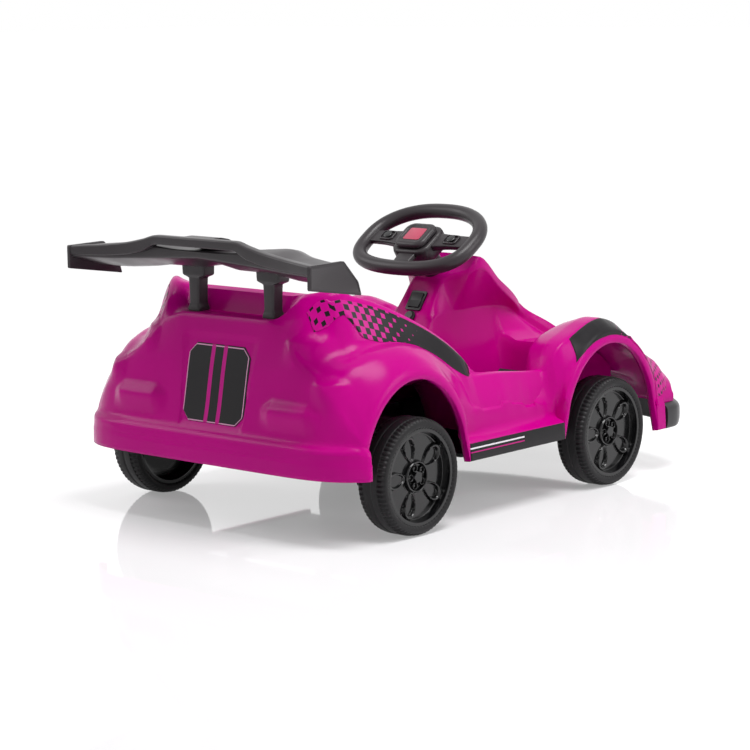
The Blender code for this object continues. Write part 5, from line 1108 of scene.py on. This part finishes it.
# %% Front bumper
INNER = [(0, -0.4895), (0.060, -0.4868), (0.120, -0.4785), (0.180, -0.4640), (0.230, -0.4480), (0.262, -0.4365),
         (0.284, -0.4250), (0.2970, -0.4070), (0.2985, -0.3900), (0.2985, -0.3778)]
OUTER = [(0, -0.5160), (0.062, -0.5138), (0.124, -0.5060), (0.188, -0.4910), (0.245, -0.4720), (0.280, -0.4530),
         (0.3005, -0.4315), (0.3105, -0.4060), (0.3115, -0.3900), (0.3115, -0.3778)]
TOP = [0.138, 0.138, 0.138, 0.138, 0.137, 0.131, 0.1245, 0.1235, 0.1230, 0.1230]
LEAN = [0.0095, 0.0090, 0.0075, 0.0050, 0.0015, 0.0, 0.0, 0.0, 0.0, 0.0]


def bumper_sections():
    """Nine corners in each upright plane from an inner to an outer point: share of the depth, and height."""
    inner, outer, top, lean = np.array(INNER), np.array(OUTER), np.array(TOP), np.array(LEAN)
    away = outer - inner
    share = np.tile([0, 0, 0, 0.25, 0.92, 1, 0.98, 0.82, 0.2], (len(inner), 1))
    share[:, 2] -= lean / np.linalg.norm(away, axis=1)
    z = np.tile([0.080, 0.107, 0, 0, 0.116, 0.104, 0.088, 0.0775, 0.0770], (len(inner), 1))
    z[:, 2], z[:, 3] = top, top - 0.001
    return np.stack([inner[:, :1] + away[:, :1] * share, inner[:, 1:] + away[:, 1:] * share, z], axis=-1)


sections = bumper_sections()
both = np.concatenate([sections[:0:-1] * (-1, 1, 1), sections])
length = running(np.linalg.norm(np.diff(both.mean(1), axis=0), axis=1))
fine = drawn(length, both, np.linspace(0, length[-1], 150))
bumper = piece("nose_bumper", skin(softened(fine, 0.006, 4, closed=True), ends=True), sharp=40, bevel=0.0012)
fit(bumper, "chassis", "bumper_black", "front_bumper")

# %% [markdown]
# ## Parts that keep their CAD shape
# The frame, the linkage, the drive and the dashboard controls are plain shapes that are already right.
# They only need their finishes, given through their material slots.

# %% Finishes of the CAD parts
KEPT = {
    "frame_black": ("chassis_tray", "front_axle_beam", "column_bearing", "knuckle_left", "knuckle_right",
                    "axle_clamp_left", "axle_clamp_right", "gearbox_left", "gearbox_right", "control_box",
                    "pedal_base", "battery_strap"),
    "body_pink": ("wheel_liner_left", "wheel_liner_right"),
    "steel_across": ("tie_bar", "rear_axle", "motor_left", "motor_right", "pedal_pin"),
    "steel_upright": ("steering_column", "kingpin_left", "kingpin_right"),
    "switch_black": ("switch_bezel", "direction_switch", "power_button", "power_collar", "charge_cap"),
    "battery_case": ("battery",),
    "foot_rubber": ("accelerator_pedal",)}
for slot, names in KEPT.items():
    for name in names:
        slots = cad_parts[name].data.materials
        slots.clear()
        slots.append(FINISH[slot])
print("CAD parts with a new finish:", sum(len(names) for names in KEPT.values()))

# %% [markdown]
# ## Floor, light and camera
# The kart stands in a white studio: a pale floor with a soft mirror, a bright surround, a strong soft lamp
# above and two weak ones from the sides. The surround is white for the camera and for reflections, and dimmer
# as a light, so that a colour renders about as it is written.

# %% Floor
def when_seen(tree, hidden, shown):
    """`shown` for rays of the camera, of mirrors and of glass, and `hidden` for the light that falls on things."""
    ray = node(tree, "LightPath").outputs
    seen = node(tree, "Math", {0: ray["Is Camera Ray"], 1: ray["Is Glossy Ray"]}, operation="MAXIMUM")
    seen = node(tree, "Math", {0: seen, 1: ray["Is Transmission Ray"]}, operation="MAXIMUM")
    return node(tree, "MapRange", {"Value": seen, "To Min": hidden, "To Max": shown})


def pale_floor():
    """White lacquered board with a soft mirror and faint cloud in its gloss; it glows a little when it is seen."""
    mat, tree, place = started("floor_lacquered_board")
    cloud = node(tree, "TexNoise", {"Vector": place, "Scale": per_mm(700.0), "Detail": 2.0})
    gloss = node(tree, "MapRange", {"Value": cloud, "To Min": 0.03, "To Max": 0.05})
    shader = node(tree, "BsdfPrincipled", {
        "Base Color": paint(0xF4F3F5), "Roughness": gloss, "Specular IOR Level": 0.9,
        "Emission Color": (1, 1, 1, 1), "Emission Strength": when_seen(tree, 0.0, 0.28)})
    node(tree, "OutputMaterial", {"Surface": shader})
    return mat


FLOOR_HALF = 40
floor_x, floor_y = np.meshgrid(*[np.linspace(-FLOOR_HALF, FLOOR_HALF, 10)] * 2)
floor = piece("floor", skin(np.stack([floor_x, floor_y, 0 * floor_x], axis=-1), around=False))
floor.data.materials.append(pale_floor())
print("floor across, m:", 2 * FLOOR_HALF)

# %% Surround and lamps
world = bpy.data.worlds.new("white_surround")
bpy.context.scene.world = world
tree = cleared(world)
surround = node(tree, "Background", {"Color": (1, 1, 1, 1), "Strength": when_seen(tree, 0.32, 1.0)})
node(tree, "OutputWorld", {"Surface": surround})
KART_MIDDLE = (0, 0, 0.2)


def lamp(name, place, size, watts):
    """A square soft box at a place, turned to face the middle of the kart."""
    data = bpy.data.lights.new(name, "AREA")
    data.energy, data.size = watts, size
    made = into_scene(name, data)
    made.location = place
    x, y, z = np.array(KART_MIDDLE, float) - np.array(place, float)
    made.rotation_euler = (math.atan2(np.hypot(x, y), -z), 0.0, math.atan2(y, x) - math.pi / 2)
    return made


lamps = [lamp("box_over_tail", (-1.1, 0.3, 3.1), size=1.4, watts=76.0),
         lamp("box_over_nose", (-2.7, -1.0, 1.6), size=1.4, watts=22.0),
         lamp("box_far_side", (2.6, 1.6, 2.0), size=1.6, watts=24.0)]
bpy.context.scene.view_settings.view_transform = "Standard"
print("lamps:", len(lamps))

# %% [markdown]
# The camera stands behind the kart's right rear wheel, 4.28 m away and 9 degrees up, with a long lens. It looks
# at the middle of the kart, rolled by 0.65 degrees. This is where the photograph was taken from.

# %% Camera
def look(place, aim, roll, focal):
    """A camera at a place that looks at a point, turned by roll degrees about its own view."""
    back = np.array(place, float) - np.array(aim, float)
    back /= np.linalg.norm(back)
    right = np.cross((0, 0, 1), back)
    right /= np.linalg.norm(right)
    up, turn = np.cross(back, right), math.radians(roll)
    side, top = right * math.cos(turn) + up * math.sin(turn), up * math.cos(turn) - right * math.sin(turn)
    data = bpy.data.cameras.new("rear_view")
    data.lens, data.sensor_width, data.clip_end = focal, 36.0, 60.0
    made = into_scene("rear_view", data)
    rows = [[side[i], top[i], back[i], place[i]] for i in range(3)]
    made.matrix_world = mathutils.Matrix([*rows, [0, 0, 0, 1]])
    bpy.context.scene.camera = made
    return made


AIM = (0.0, 0.059, 0.2)
camera = look((-2.783, 3.238, 0.858), AIM, roll=-0.646, focal=118.7)
print("camera distance in m:", round(float(np.linalg.norm(np.array(camera.location) - AIM)), 2))
